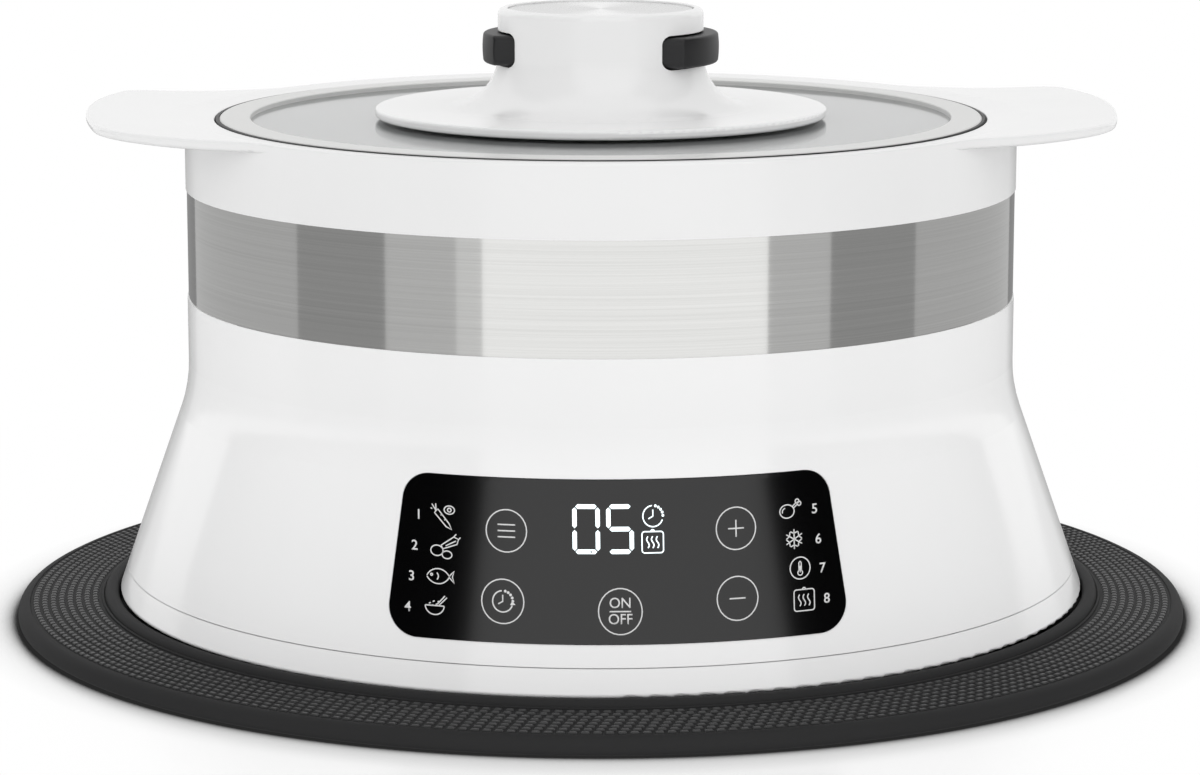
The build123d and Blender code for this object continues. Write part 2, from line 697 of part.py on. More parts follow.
# ---------------------------------------------------------------- tank and heater
def water_tank():
    flange_r = NECK_IN - FLANGE_FIT
    shape = turned(
        (PLATE_BOSS_R, TANK_Z), (TANK_LOW_R, TANK_Z, TANK_BEND),
        (TANK_LOW_R, TRAY_SEAT_Z - TANK_T), (TANK_R, TRAY_SEAT_Z - TANK_T), (TANK_R, LEDGE_TOP),
        (flange_r, LEDGE_TOP), (flange_r, TANK_FLANGE_TOP), (TANK_IN, TANK_FLANGE_TOP),
        (TANK_IN, TRAY_SEAT_Z), (TANK_LOW_IN, TRAY_SEAT_Z),
        (TANK_LOW_IN, TANK_Z + TANK_T, TANK_BEND - TANK_T), (PLATE_BOSS_R, TANK_Z + TANK_T),
    )
    stud = rod(STUD_R, CLAMP_Z - NUT_H - STUD_END, TANK_Z, x=STUD_PITCH_R)
    return shape + around(stud, STUD_COUNT, 180 / STUD_COUNT)


def heater_plate():
    return turned((0, PLATE_Z), (PLATE_R, PLATE_Z), (PLATE_R, PLATE_TOP),
                  (PLATE_BOSS_R, PLATE_TOP), (PLATE_BOSS_R, TANK_Z + TANK_T),
                  (0, TANK_Z + TANK_T))


def element_end_deg():
    """Angle from +Y of the element's two pins."""
    return (360 - ELEMENT_ARC) / 2 + PIN_INSET_DEG


def heating_element():
    r_in, r_out = ELEMENT_R - ELEMENT_W / 2, ELEMENT_R + ELEMENT_W / 2
    low = PLATE_Z - ELEMENT_H
    shape = turned((r_in, PLATE_Z), (r_out, PLATE_Z), (r_out, low, ELEMENT_ROUND),
                   (r_in, low, ELEMENT_ROUND), arc=ELEMENT_ARC)
    shape = Rot(0, 0, 90 + (360 - ELEMENT_ARC) / 2) * shape
    return shape + [rod(PIN_R, PIN_Z, low + ELEMENT_H / 2, x, y) for x, y in pin_places()]


def pin_places():
    angle = radians(element_end_deg())
    return [(side * ELEMENT_R * sin(angle), ELEMENT_R * cos(angle)) for side in (-1, 1)]


def heater_seal():
    return ring(PLATE_R - SEAL_INSET - SEAL_W, PLATE_R - SEAL_INSET, PLATE_TOP, TANK_Z)


def heater_clamp_ring():
    r_in = PLATE_R - CLAMP_LAP
    hole = rod(STUD_R + STUD_FIT, CLAMP_Z, PLATE_Z, x=STUD_PITCH_R)
    return ring(r_in, r_in + CLAMP_W, CLAMP_Z, PLATE_Z) - around(hole, STUD_COUNT, 180 / STUD_COUNT)


def clamp_nuts():
    face = RegularPolygon(NUT_FLAT / 2, 6, major_radius=False) - Circle(STUD_R)
    nut = Pos(STUD_PITCH_R, 0, CLAMP_Z - NUT_H) * extrude(face, NUT_H)
    return joined(around(nut, STUD_COUNT, 180 / STUD_COUNT))


def thermostats():
    low = PLATE_Z - THERMOSTAT_H
    return joined(rod(THERMOSTAT_R, low, PLATE_Z, side * THERMOSTAT_X, -THERMOSTAT_R)
                  for side in (-1, 1))


def thermal_fuse():
    return block((FUSE_L, FUSE_W, FUSE_H), 0, FUSE_Y, PLATE_Z - FUSE_H)


# ---------------------------------------------------------------- power board and leads
def power_board():
    board = block((POWER_W, POWER_D, POWER_T), 0, POWER_MID_Y, POWER_Z)
    return board - [rod(SMALL_SCREW_R, POWER_Z, POWER_TOP, x, y) for x, y in standoff_places()]


def board_screws():
    return joined(
        rod(SMALL_HEAD_R, POWER_TOP, POWER_TOP + SMALL_HEAD_H, x, y)
        + rod(SMALL_SCREW_R, POWER_Z - POWER_SCREW_REACH, POWER_TOP, x, y)
        for x, y in standoff_places()
    )


def terminal_block():
    return block((TERMINAL_W, TERMINAL_D, TERMINAL_H), 0, POWER_Y + TERMINAL_D / 2, POWER_TOP)


def on_board(place):
    """Place given from the middle of the power board."""
    return place[0], POWER_MID_Y + place[1]


def relay():
    return block(RELAY, *on_board(RELAY_AT), POWER_TOP)


def transformer():
    return block(TRANSFORMER, *on_board(TRANSFORMER_AT), POWER_TOP)


def capacitor():
    return rod(CAPACITOR_R, POWER_TOP, POWER_TOP + CAPACITOR_H, *on_board(CAPACITOR_AT))


def harness_socket():
    return block(SOCKET_SIZE, SOCKET_X, SOCKET_Y, POWER_TOP)


def heater_leads():
    run_z, end_z = FLOOR_TOP + LEAD_LIFT, POWER_TOP + TERMINAL_H / 2
    rise_y = POWER_Y - LEAD_DROP
    leads = []
    for x, y in pin_places():
        points = [(x, y, PIN_Z), (x, y, run_z), (x, rise_y, run_z), (x, rise_y, end_z),
                  (x, POWER_Y, end_z)]
        leads.append(bent_tube(points, LEAD_R, LEAD_BEND))
    return joined(leads)


# ---------------------------------------------------------------- drip tray and bowl
def drip_tray():
    flange_r = TANK_IN - DRIP_FIT
    wall_r = TANK_LOW_IN - DRIP_WALL_FIT
    top = TRAY_SEAT_Z + DRIP_T
    return turned(
        (DRIP_TUBE_R, DRIP_LOW), (wall_r - DRIP_DRAFT, DRIP_LOW, DRIP_BEND),
        (wall_r, TRAY_SEAT_Z), (flange_r, TRAY_SEAT_Z), (flange_r, top), (wall_r - DRIP_T, top),
        (wall_r - DRIP_DRAFT - DRIP_T, DRIP_LOW + DRIP_T, DRIP_BEND - DRIP_T),
        (DRIP_TUBE_R, DRIP_LOW + DRIP_T),
    )


def tray_tube():
    return ring(DRIP_TUBE_IN, DRIP_TUBE_R, DRIP_LOW, DRIP_TUBE_TOP)


def steam_bowl():
    flange_r = SEAT_R - FLANGE_FIT
    floor_r = BOWL_R - BOWL_DRAFT
    shape = turned(
        (BOWL_R, SEAT_Z), (flange_r, SEAT_Z), (flange_r, BOWL_FLANGE_TOP),
        (BOWL_R - BOWL_T, BOWL_FLANGE_TOP),
        (floor_r - BOWL_T, BOWL_LOW + BOWL_T, BOWL_BEND - BOWL_T),
        (CHIMNEY_R, BOWL_LOW + BOWL_T), (CHIMNEY_R, BOWL_LOW), (floor_r, BOWL_LOW, BOWL_BEND),
    )
    for radius, count in SLOT_ROWS:
        slot = Pos(radius, 0, BOWL_LOW) * extrude(SlotOverall(SLOT_L, SLOT_W), BOWL_T)
        shape -= around(slot, count)
    return shape


def steam_chimney():
    return ring(CHIMNEY_R - CHIMNEY_T, CHIMNEY_R, CHIMNEY_LOW, CHIMNEY_TOP)


def ear_plan():
    """Rim circle and both ears, seen from above."""
    root_x = sqrt(WALL_R ** 2 - (EAR_ROOT_W / 2) ** 2)
    corner_x = EAR_REACH - (EAR_TIP_W / 2) ** 2 / (2 * EAR_CROWN_R)
    half_root, half_tip = EAR_ROOT_W / 2, EAR_TIP_W / 2
    edge = [Line((0, -half_root), (root_x, -half_root)),
            Line((root_x, -half_root), (corner_x, -half_tip)),
            ThreePointArc((corner_x, -half_tip), (EAR_REACH, 0), (corner_x, half_tip)),
            Line((corner_x, half_tip), (root_x, half_root)),
            Line((root_x, half_root), (0, half_root)),
            Line((0, half_root), (0, -half_root))]
    ear = make_face(edge)
    plan = Circle(WALL_R) + ear + Rot(0, 0, 180) * ear
    tips = [v for v in plan.vertices() if abs(v.X) > (WALL_R + EAR_REACH) / 2]
    plan = fillet(tips, EAR_CORNER)
    roots = [v for v in plan.vertices()
             if abs(v.X) < WALL_R and abs(abs(v.Y) - half_root) < half_root / 4]
    return fillet(roots, EAR_WEB_R)


def rim_with_ears():
    """Top of the collar: the flat rim and both ears, which rise slightly to their tips."""
    plan = ear_plan() - Circle(SEAT_R)
    low, tip_x = RIM_Z - EAR_ROOT_T, EAR_REACH + OVER
    tip_top = RIM_Z + EAR_RISE
    tip_low = tip_top - EAR_TIP_T
    side = [Line((0, low), (EAR_START_X, low)),
            TangentArc((EAR_START_X, low), (tip_x, tip_low), tangent=(1, 0)),
            Line((tip_x, tip_low), (tip_x, tip_top)),
            TangentArc((EAR_START_X, RIM_Z), (tip_x, tip_top), tangent=(1, 0)),
            Line((EAR_START_X, RIM_Z), (0, RIM_Z)), Line((0, RIM_Z), (0, low))]
    half = extrude(Plane.XZ * make_face(side), BIG, both=True)
    slab = extrude(Pos(0, 0, low - OVER) * plan, EAR_ROOT_T + EAR_RISE + 2 * OVER)
    shape = slab & (half + Rot(0, 0, 180) * half)
    caps = [face for face in shape.faces() if abs(face.normal_at().Z) > cos(radians(45))]
    edges = [edge for face in caps for edge in face.edges()]
    outer = [edge for edge in edges if on_outline(edge)]
    shape = fillet(outer, RIM_EDGE) - dish()
    return fillet([edge for edge in shape.edges() if on_seat(edge)], RIM_ROUND)


def dish():
    """What the fall of the rim towards the lid seat takes off; it runs out into the ears."""
    steepness = RIM_DISH / (RIM_W - RIM_FLAT_W)
    blend_z = RIM_Z - RIM_DISH + steepness * (EAR_BLEND_R - SEAT_R)
    return turned((0, RIM_Z - RIM_DISH), (SEAT_R, RIM_Z - RIM_DISH), (EAR_BLEND_R, blend_z),
                  (EAR_BLEND_R, RIM_Z + BIG), (0, RIM_Z + BIG))


def on_outline(edge):
    """True for an edge that follows the outside of the rim or an ear."""
    start, middle, end = edge @ 0, edge @ 0.5, edge @ 1
    beyond_rim = all(p.X ** 2 + p.Y ** 2 > (WALL_R - OVER) ** 2 for p in (start, middle, end))
    across = abs(start.X - end.X) < TOUCHING and abs(middle.X) < EAR_REACH - OVER
    return beyond_rim and not across


def on_seat(edge):
    """True for an edge that follows the mouth of the lid seat."""
    points = (edge @ 0, edge @ 0.5, edge @ 1)
    near = all(abs(p.X ** 2 + p.Y ** 2 - SEAT_R ** 2) < SEAT_R for p in points)
    return near and edge.center().Z > RIM_Z - EAR_ROOT_T / 2


def bowl_collar():
    spigot_r = NECK_IN - SPIGOT_FIT
    spigot_in = spigot_r - SPIGOT_T
    spigot_low = TANK_FLANGE_TOP + SPIGOT_GAP
    web = RIM_Z - COLLAR_WEB_T
    skirt_in = WALL_R - COLLAR_T
    overlap = RIM_Z - EAR_ROOT_T / 2
    wall = turned(
        (WALL_R, NECK_TOP), (WALL_R, overlap), (SEAT_R, overlap),
        (SEAT_R, SEAT_Z), (SEAT_IN, SEAT_Z), (SEAT_IN, SEAT_Z - SEAT_T),
        (spigot_in, SEAT_Z - SEAT_T), (spigot_in, spigot_low), (spigot_r, spigot_low),
        (spigot_r, web), (skirt_in, web), (skirt_in, NECK_TOP),
    )
    return wall + rim_with_ears()


# ---------------------------------------------------------------- lid
def lid_gasket():
    foot_in = GLASS_R + GLASS_EDGE_FIT + GASKET_FIT
    return turned((foot_in, BOWL_FLANGE_TOP), (LID_R, BOWL_FLANGE_TOP),
                  (LID_R, RIM_Z - GASKET_DROP, GASKET_ROUND), (RING_R, RIM_Z - GASKET_DROP),
                  (RING_R, RING_LOW), (foot_in, RING_LOW))


def lid_ring():
    top = GLASS_TOP + LID_RING_LIP
    bevel = LID_RING_BEVEL
    return turned((GLASS_R + GLASS_EDGE_FIT, RING_LOW), (RING_R, RING_LOW), (RING_R, top - bevel),
                  (RING_R - bevel, top), (RING_IN + bevel / 2, top), (RING_IN, top - bevel / 2),
                  (RING_IN, GLASS_TOP), (GLASS_R + GLASS_EDGE_FIT, GLASS_TOP))


def lid_glass():
    return ring(HUB_R + HUB_FIT, GLASS_R, GLASS_LOW, GLASS_TOP)


def lid_hub():
    r_in = HUB_R - HUB_T
    low = GLASS_LOW - HUB_SEAL_T - HUB_NUT_T - HUB_SEAL_T
    flange_top = GLASS_TOP + HUB_FLANGE_T
    return turned((r_in, low), (HUB_R, low), (HUB_R, GLASS_TOP), (HUB_FLANGE_R, GLASS_TOP),
                  (HUB_FLANGE_R, flange_top, HUB_FLANGE_ROUND), (HUB_R, flange_top),
                  (HUB_R, HUB_TOP), (r_in, HUB_TOP))


def hub_seal():
    return ring(HUB_R, HUB_FLANGE_R - HUB_SEAL_T, GLASS_LOW - HUB_SEAL_T, GLASS_LOW)


def hub_nut():
    top = GLASS_LOW - HUB_SEAL_T
    low = top - HUB_NUT_T
    notch = block((2 * HUB_NOTCH_D, HUB_NOTCH_W, HUB_NUT_T), HUB_FLANGE_R, 0, low)
    return ring(HUB_R, HUB_FLANGE_R, low, top) - around(notch, HUB_NOTCH_COUNT)


# ---------------------------------------------------------------- steam cap
def on_cap(shape, opposite=False):
    """Turn a shape drawn along +X to the right latch button's place, or to the left one's."""
    return Rot(0, 0, CAP_TURN_DEG - 90 + (180 if opposite else 0)) * shape


def steam_cap():
    recess_r = HUB_FLANGE_R + CAP_FIT
    recess_top = GLASS_TOP + HUB_FLANGE_T + GUIDE_FIT
    well_r = INLAY_R + INLAY_GAP
    groove_out = CAP_SEAL_R + CAP_SEAL_W
    groove_top = DISC_LOW + CAP_SEAL_SINK
    shape = turned(
        (recess_r, DISC_LOW), (CAP_SEAL_R, DISC_LOW), (CAP_SEAL_R, groove_top),
        (groove_out, groove_top), (groove_out, DISC_LOW), (CAP_DISC_R, DISC_LOW, CAP_DISC_ROUND),
        (CAP_DISC_R, DISC_TOP, CAP_DISC_ROUND), (CAP_R, DISC_TOP, CAP_FILLET),
        (CAP_R, CAP_TOP, CAP_RIM_ROUND), (well_r, CAP_TOP, WELL_ROUND), (well_r, INLAY_LOW),
        (0, INLAY_LOW), (0, ROOF_LOW), (CAP_IN, ROOF_LOW), (CAP_IN, recess_top),
        (recess_r, recess_top),
    )
    outline = Plane.YZ * RectangleRounded(WINDOW_W, WINDOW_H, WINDOW_ROUND)
    opening = extrude(Pos(CAP_R / 2, 0, WINDOW_MID) * outline, CAP_R)
    return shape - [on_cap(opening), on_cap(opening, True)]


def cap_inlay():
    return turned((0, INLAY_LOW), (INLAY_R, INLAY_LOW), (INLAY_R, INLAY_TOP, INLAY_ROUND),
                  (0, INLAY_TOP))


def cap_seal():
    return ring(CAP_SEAL_R, CAP_SEAL_R + CAP_SEAL_W, GLASS_TOP, DISC_LOW + CAP_SEAL_SINK)


def latch_guide():
    disc_low = ROOF_LOW - GUIDE_T
    post_low = WINDOW_LOW - BUTTON_LIP_H
    post = block((2 * GUIDE_POST_X, 2 * GUIDE_POST_Y, disc_low - post_low), 0, 0, post_low)
    return rod(CAP_IN - GUIDE_FIT, disc_low, ROOF_LOW) + on_cap(post)


def barrel(radius, crown_r, z_low, z_top):
    """Rod whose wall is an upright arc that bulges to the radius half way up."""
    half = (z_top - z_low) / 2
    edge = radius - crown_r + sqrt(crown_r ** 2 - half ** 2)
    middle = (z_low + z_top) / 2
    side = [Line((0, z_low), (edge, z_low)),
            ThreePointArc((edge, z_low), (radius, middle), (edge, z_top)),
            Line((edge, z_top), (0, z_top)), Line((0, z_top), (0, z_low))]
    return revolve(Plane.XZ * make_face(side), Axis.Z)


def latch_button(opposite):
    outline = Plane.YZ * RectangleRounded(
        WINDOW_W - 2 * BUTTON_EDGE_FIT, WINDOW_H - 2 * BUTTON_EDGE_FIT,
        WINDOW_ROUND - BUTTON_EDGE_FIT)
    grip = extrude(Pos(0, 0, WINDOW_MID) * outline, 2 * BUTTON_R)
    grip &= barrel(BUTTON_R, BUTTON_CROWN_R, WINDOW_LOW, WINDOW_TOP)
    grip_face = grip.faces().sort_by(Axis.X)[-1]
    grip = fillet(grip_face.edges(), BUTTON_ROUND)
    lip_h = WINDOW_H + 2 * BUTTON_LIP_H
    lip = rod(BUTTON_LIP_R, WINDOW_MID - lip_h / 2, WINDOW_MID + lip_h / 2)
    lip &= Pos(BUTTON_R / 2, 0, WINDOW_MID) * Box(BUTTON_R, WINDOW_W + 2 * BUTTON_LIP_W, lip_h)
    shape = grip + lip - rod(BUTTON_BACK_R, WINDOW_LOW - lip_h, WINDOW_TOP + lip_h)
    seat_l = BUTTON_BACK_R + BUTTON_LIP_T / 2 - SEAT_BOSS_X
    seat = Rot(0, 90, 0) * Cylinder(SEAT_BOSS_R, seat_l)
    seat = Pos(SEAT_BOSS_X + seat_l / 2, 0, WINDOW_MID) * seat
    return on_cap(shape + seat, opposite)


def latch_spring(opposite):
    spring = coil(BUTTON_COIL_R, BUTTON_WIRE_R, SEAT_BOSS_X - GUIDE_POST_X, BUTTON_TURNS)
    return on_cap(Pos(GUIDE_POST_X, 0, WINDOW_MID) * Rot(0, 90, 0) * spring, opposite)


def latch_button_right():
    return latch_button(False)


def latch_button_left():
    return latch_button(True)


def latch_spring_right():
    return latch_spring(False)


def latch_spring_left():
    return latch_spring(True)


SUB_PARTS = (
    silicone_mat, base_tray, housing_shell, steel_band, rubber_feet, base_screws, cord_gland,
    gland_nut, control_fascia, display_board, display_module, display_screws, touch_springs,
    buzzer, display_plug, display_harness, water_tank, heater_plate, heating_element, heater_seal,
    heater_clamp_ring, clamp_nuts, thermostats, thermal_fuse, power_board, board_screws,
    terminal_block, relay, transformer, capacitor, harness_socket, heater_leads, drip_tray,
    tray_tube, steam_bowl, steam_chimney, bowl_collar, lid_gasket, lid_ring, lid_glass, lid_hub,
    hub_seal, hub_nut,
    steam_cap, cap_inlay, cap_seal, latch_guide, latch_button_right, latch_button_left,
    latch_spring_right, latch_spring_left,
)

for sub_part in SUB_PARTS:
    export_step(sub_part(), f"parts/{sub_part.__name__}.step")
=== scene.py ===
"""Electric food steamer: finishes, textured mat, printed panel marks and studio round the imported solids."""

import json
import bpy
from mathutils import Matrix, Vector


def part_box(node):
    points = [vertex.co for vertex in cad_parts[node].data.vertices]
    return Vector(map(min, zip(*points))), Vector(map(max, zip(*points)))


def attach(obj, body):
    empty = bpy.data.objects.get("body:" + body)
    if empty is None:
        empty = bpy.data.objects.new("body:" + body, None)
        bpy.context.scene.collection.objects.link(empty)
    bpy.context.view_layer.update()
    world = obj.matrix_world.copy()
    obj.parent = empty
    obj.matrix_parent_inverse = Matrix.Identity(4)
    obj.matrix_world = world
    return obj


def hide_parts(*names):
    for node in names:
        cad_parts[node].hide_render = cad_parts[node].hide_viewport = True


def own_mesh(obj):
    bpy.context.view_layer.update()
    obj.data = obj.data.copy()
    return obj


bl_info = {
    "name": "Electric food steamer",
    "version": (1, 0, 0),
    "blender": (4, 5, 0),
    "location": "View3D > Sidebar > Steamer",
    "description": "Dresses the steamer's solids with finishes, a textured mat and panel marks",
    "category": "Object",
}

from math import cos, pi, radians, sin, tan

import bpy
from bpy.props import (
    FloatProperty,
    FloatVectorProperty,
    IntProperty,
    PointerProperty,
    StringProperty,
)
from mathutils import Vector

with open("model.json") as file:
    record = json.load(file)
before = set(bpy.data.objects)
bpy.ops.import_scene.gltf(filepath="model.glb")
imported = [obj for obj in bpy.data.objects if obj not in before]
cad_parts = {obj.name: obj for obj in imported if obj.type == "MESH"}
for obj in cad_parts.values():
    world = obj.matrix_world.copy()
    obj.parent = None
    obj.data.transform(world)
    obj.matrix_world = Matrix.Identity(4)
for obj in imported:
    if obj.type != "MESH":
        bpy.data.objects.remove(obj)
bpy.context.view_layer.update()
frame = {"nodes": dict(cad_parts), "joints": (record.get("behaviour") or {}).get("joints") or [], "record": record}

MM = 0.001
MAT_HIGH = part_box("silicone_mat")[1]
TRAY_LOW, TRAY_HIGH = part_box("base_tray")
FASCIA_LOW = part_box("control_fascia")[0]


# ---------------------------------------------------------------- settings
def length(name, description, default):
    """A size in metres that the sidebar shows in the scene's units."""
    return FloatProperty(
        name=name,
        description=description,
        default=default,
        min=0.0,
        precision=5,
        subtype="DISTANCE",
        unit="LENGTH",
    )


def colour(name, description, default):
    """A linear colour."""
    return FloatVectorProperty(
        name=name,
        description=description,
        default=default,
        size=3,
        min=0.0,
        max=1.0,
        subtype="COLOR",
    )


def brightness(name, description, default):
    """A level of light, at which 1 is white."""
    return FloatProperty(name=name, description=description, default=default, min=0.0)


class SteamerMat(bpy.types.PropertyGroup):
    """Sizes of the silicone mat."""

    rim_height: length("Rim height", "Thickness of the smooth outer rim", 5.8 * MM)
    rim_width: length("Rim width", "Width of the smooth outer rim", 4.0 * MM)
    rim_round: length("Rim rounding", "Rounding of the rim's top edge", 3.6 * MM)
    foot_round: length("Foot rounding", "Rounding of the rim's lower edge", 1.4 * MM)
    field_drop: length("Field drop", "Outside of the studded field below the rim", 0.4 * MM)
    field_rise: length("Field rise", "Rise of the field towards the base", 1.3 * MM)
    bead_gap: length("Bead gap", "Bead clear of the base", 0.5 * MM)
    bead_width: length("Bead width", "Width of the raised bead", 6.1 * MM)
    bead_round: length("Bead rounding", "Rounding of the bead's top", 2.0 * MM)
    bead_step: length("Bead step", "Small step at the foot of the bead", 1.0 * MM)
    floor: length("Floor", "Thickness under the base", 3.0 * MM)
    stud_rows: IntProperty(
        name="Stud rows", description="Rings of studs in the field", default=8, min=1
    )
    stud_width: length("Stud width", "Stud measured towards the middle", 1.75 * MM)
    stud_length: length("Stud length", "Stud measured round the mat", 2.5 * MM)
    stud_height: length("Stud height", "Stud above the field", 0.55 * MM)
    stud_pitch: length("Stud pitch", "From stud to stud round the mat", 3.7 * MM)


class SteamerPrint(bpy.types.PropertyGroup):
    """Sizes of the marks printed on the control panel."""

    line: length("Line", "Width of the printed lines", 0.42 * MM)
    ring_line: length("Ring line", "Width of the key rings", 0.38 * MM)
    ink: length("Ink", "Thickness of the ink", 0.03 * MM)
    number_height: length("Number height", "Size of the programme numbers", 4.1 * MM)
    word_height: length("Word height", "Size of the ON and OFF words", 4.3 * MM)
    figure_height: length("Figure height", "Height of the display's figures", 14.5 * MM)
    figure_line: length("Figure line", "Thickness of the figures' bars", 1.35 * MM)
    figures: StringProperty(
        name="Figures", description="Number that the display shows", default="05"
    )


class SteamerColours(bpy.types.PropertyGroup):
    """Main colours."""

    # Body and Top are one white plastic in two shades: Body is painted lighter to offset the shade on the lower
    # base, and Top is darker for the bowl and lid, which take more light
    body: colour("Body", "Gloss white mouldings of the base", (0.95, 0.95, 0.95))
    top: colour("Top", "Satin white mouldings of the bowl and the lid", (0.89, 0.89, 0.89))
    mat: colour("Mat", "Silicone mat", (0.029, 0.029, 0.0295))
    fascia: colour("Fascia", "Control panel", (0.0012, 0.0012, 0.0014))
    ink: colour("Ink", "Printed marks", (0.78, 0.78, 0.78))
    lit: colour("Lit figures", "Display", (0.86, 0.97, 1.0))
    grip: colour("Grips", "Latch buttons", (0.011, 0.011, 0.012))


class SteamerStudio(bpy.types.PropertyGroup):
    """Light and camera."""

    camera_distance: length("Camera distance", "From the axis, level", 1.3089)
    camera_height: length("Camera height", "Above the floor", 0.3136)
    camera_turn: FloatProperty(
        name="Camera turn",
        description="Camera round from the front",
        default=radians(-2.2),
        subtype="ANGLE",
    )
    camera_tilt: FloatProperty(
        name="Camera tilt",
        description="Camera down from level",
        default=radians(10.3366),
        subtype="ANGLE",
    )
    shift: FloatProperty(name="Shift", description="Sideways framing", default=-0.0006, precision=4)
    lens: FloatProperty(name="Lens", description="Focal length", default=116.09, unit="CAMERA")
    side: brightness("Side light", "Level of the light round the sides", 1.36)
    top: brightness("Top light", "Level of the light straight above", 0.68)
    softbox: brightness("Softbox", "Level of the front softbox", 1.35)


# ---------------------------------------------------------------- modelling helpers
ROUNDING_STEPS = 5         # facets of a rounded corner
CREASE = radians(35)       # edges sharper than this stay sharp


def clear_selection():
    """Leave edit mode and deselect everything."""
    if bpy.context.object and bpy.context.object.mode != "OBJECT":
        bpy.ops.object.mode_set(mode="OBJECT")
    for thing in bpy.context.selected_objects:
        thing.select_set(False)


def only(thing):
    """Select one object alone and make it active."""
    clear_selection()
    thing.select_set(True)
    bpy.context.view_layer.objects.active = thing
    return thing


def edit(thing):
    """Open an object in edit mode with nothing selected."""
    only(thing)
    bpy.ops.object.mode_set(mode="EDIT")
    bpy.ops.mesh.select_all(action="DESELECT")


def pick(thing, test, kind="vertices"):
    """In edit mode, select the vertices, edges or faces whose middle passes the test."""
    bpy.ops.object.mode_set(mode="OBJECT")
    mesh = thing.data
    for group in (mesh.vertices, mesh.edges, mesh.polygons):
        group.foreach_set("select", [False] * len(group))
    for item in getattr(mesh, kind):
        if kind == "vertices":
            middle = item.co
        else:
            points = [mesh.vertices[i].co for i in item.vertices]
            middle = sum(points, Vector()) / len(points)
        item.select = test(middle, item)
    mode = {"vertices": "VERT", "edges": "EDGE", "polygons": "FACE"}[kind]
    bpy.ops.object.mode_set(mode="EDIT")
    bpy.ops.mesh.select_mode(type=mode)


def modified(thing, kind, **values):
    """Add a modifier, set it and apply it."""
    only(thing)
    modifier = thing.modifiers.new(kind.title(), kind)
    for name, value in values.items():
        setattr(modifier, name, value)
    bpy.ops.object.modifier_apply(modifier=modifier.name)
    return thing


def joined(name, things):
    """Join objects into one piece with its place in its mesh."""
    clear_selection()
    for thing in things:
        thing.select_set(True)
    bpy.context.view_layer.objects.active = things[0]
    if len(things) > 1:
        bpy.ops.object.join()
    piece = bpy.context.object
    piece.name = name
    bpy.ops.object.transform_apply(location=True, rotation=True, scale=True)
    return piece


def lathe(name, corners, steps):
    """Spin a profile of (radius, height, rounding) round the upright axis."""
    clear_selection()
    bpy.ops.mesh.primitive_plane_add(size=MM)
    piece = bpy.context.object
    piece.name = name
    bpy.ops.object.mode_set(mode="EDIT")
    bpy.ops.mesh.merge(type="CENTER")
    here = Vector((0, 0, 0))
    for number, (radius, height, _) in enumerate(corners):
        there = Vector((radius, 0, height))
        if number:
            bpy.ops.mesh.extrude_region_move(TRANSFORM_OT_translate={"value": there - here})
        else:
            bpy.ops.transform.translate(value=there - here)
        here = there
    for radius, height, rounding in corners:
        if rounding:
            corner = Vector((radius, 0, height))
            pick(piece, lambda middle, _: (middle - corner).length < MM / 20)
            bpy.ops.mesh.bevel(offset=rounding, segments=ROUNDING_STEPS, affect="VERTICES")
    bpy.ops.mesh.select_all(action="SELECT")
    bpy.ops.mesh.spin(steps=steps, angle=2 * pi, center=(0, 0, 0), axis=(0, 0, 1))
    bpy.ops.mesh.select_all(action="SELECT")
    bpy.ops.mesh.remove_doubles(threshold=MM / 200)
    bpy.ops.mesh.normals_make_consistent(inside=False)
    bpy.ops.object.mode_set(mode="OBJECT")
    bpy.ops.object.shade_smooth_by_angle(angle=CREASE)
    return piece


# ---------------------------------------------------------------- flat drawing helpers
ARC_STEP = 12              # degrees from point to point on an arc
WAVE_STEPS = 10
RIBBON_STEP = 1.0          # longest run of a ribbon, in millimetres
PRINT_LIFT = 0.01 * MM     # ink clear of the panel


def arc(x, z, radius, start, end, squeeze=1.0):
    """Points along an arc, in millimetres, with angles in degrees."""
    count = max(3, int(abs(end - start) / ARC_STEP))
    turns = [radians(start + (end - start) * i / count) for i in range(count + 1)]
    return [(x + radius * cos(t), z + radius * squeeze * sin(t)) for t in turns]


def wave(x, z_low, z_high, swing):
    """Points of a rising wavy line."""
    shares = [i / WAVE_STEPS for i in range(WAVE_STEPS + 1)]
    return [(x + swing * sin(2 * pi * s), z_low + (z_high - z_low) * s) for s in shares]


def box_round(x, z, half_w, half_h, corner):
    """Closed outline of a rounded box."""
    points = []
    for start, sx, sz in ((0, 1, 1), (90, -1, 1), (180, -1, -1), (270, 1, -1)):
        middle_x, middle_z = x + sx * (half_w - corner), z + sz * (half_h - corner)
        points += arc(middle_x, middle_z, corner, start, start + 90)
    return points + points[:1]


def dense(points, step):
    """The same line with no run longer than a step."""
    line = [points[0]]
    for (ax, az), (bx, bz) in zip(points, points[1:]):
        run_x, run_z = bx - ax, bz - az
        count = max(1, int((run_x ** 2 + run_z ** 2) ** 0.5 / step))
        line += [(ax + run_x * i / count, az + run_z * i / count) for i in range(1, count + 1)]
    return line


def strokes(lines, width):
    """Flat ribbons along lines of (x, z) in millimetres."""
    curve = bpy.data.curves.new("strokes", "CURVE")
    curve.dimensions = "3D"
    curve.twist_mode = "Z_UP"
    curve.extrude = width / 2
    for line in lines:
        closed = line[0] == line[-1] and len(line) > 3
        points = dense(line, RIBBON_STEP)
        points = points[:-1] if closed else points
        spline = curve.splines.new("POLY")
        spline.points.add(len(points) - 1)
        spline.use_cyclic_u = closed
        for point, (x, z) in zip(spline.points, points):
            point.co = (x * MM, z * MM, 0, 1)
            point.tilt = pi / 2
    drawing = bpy.data.objects.new("strokes", curve)
    bpy.context.scene.collection.objects.link(drawing)
    only(drawing)
    bpy.ops.object.convert(target="MESH")
    return bpy.context.object


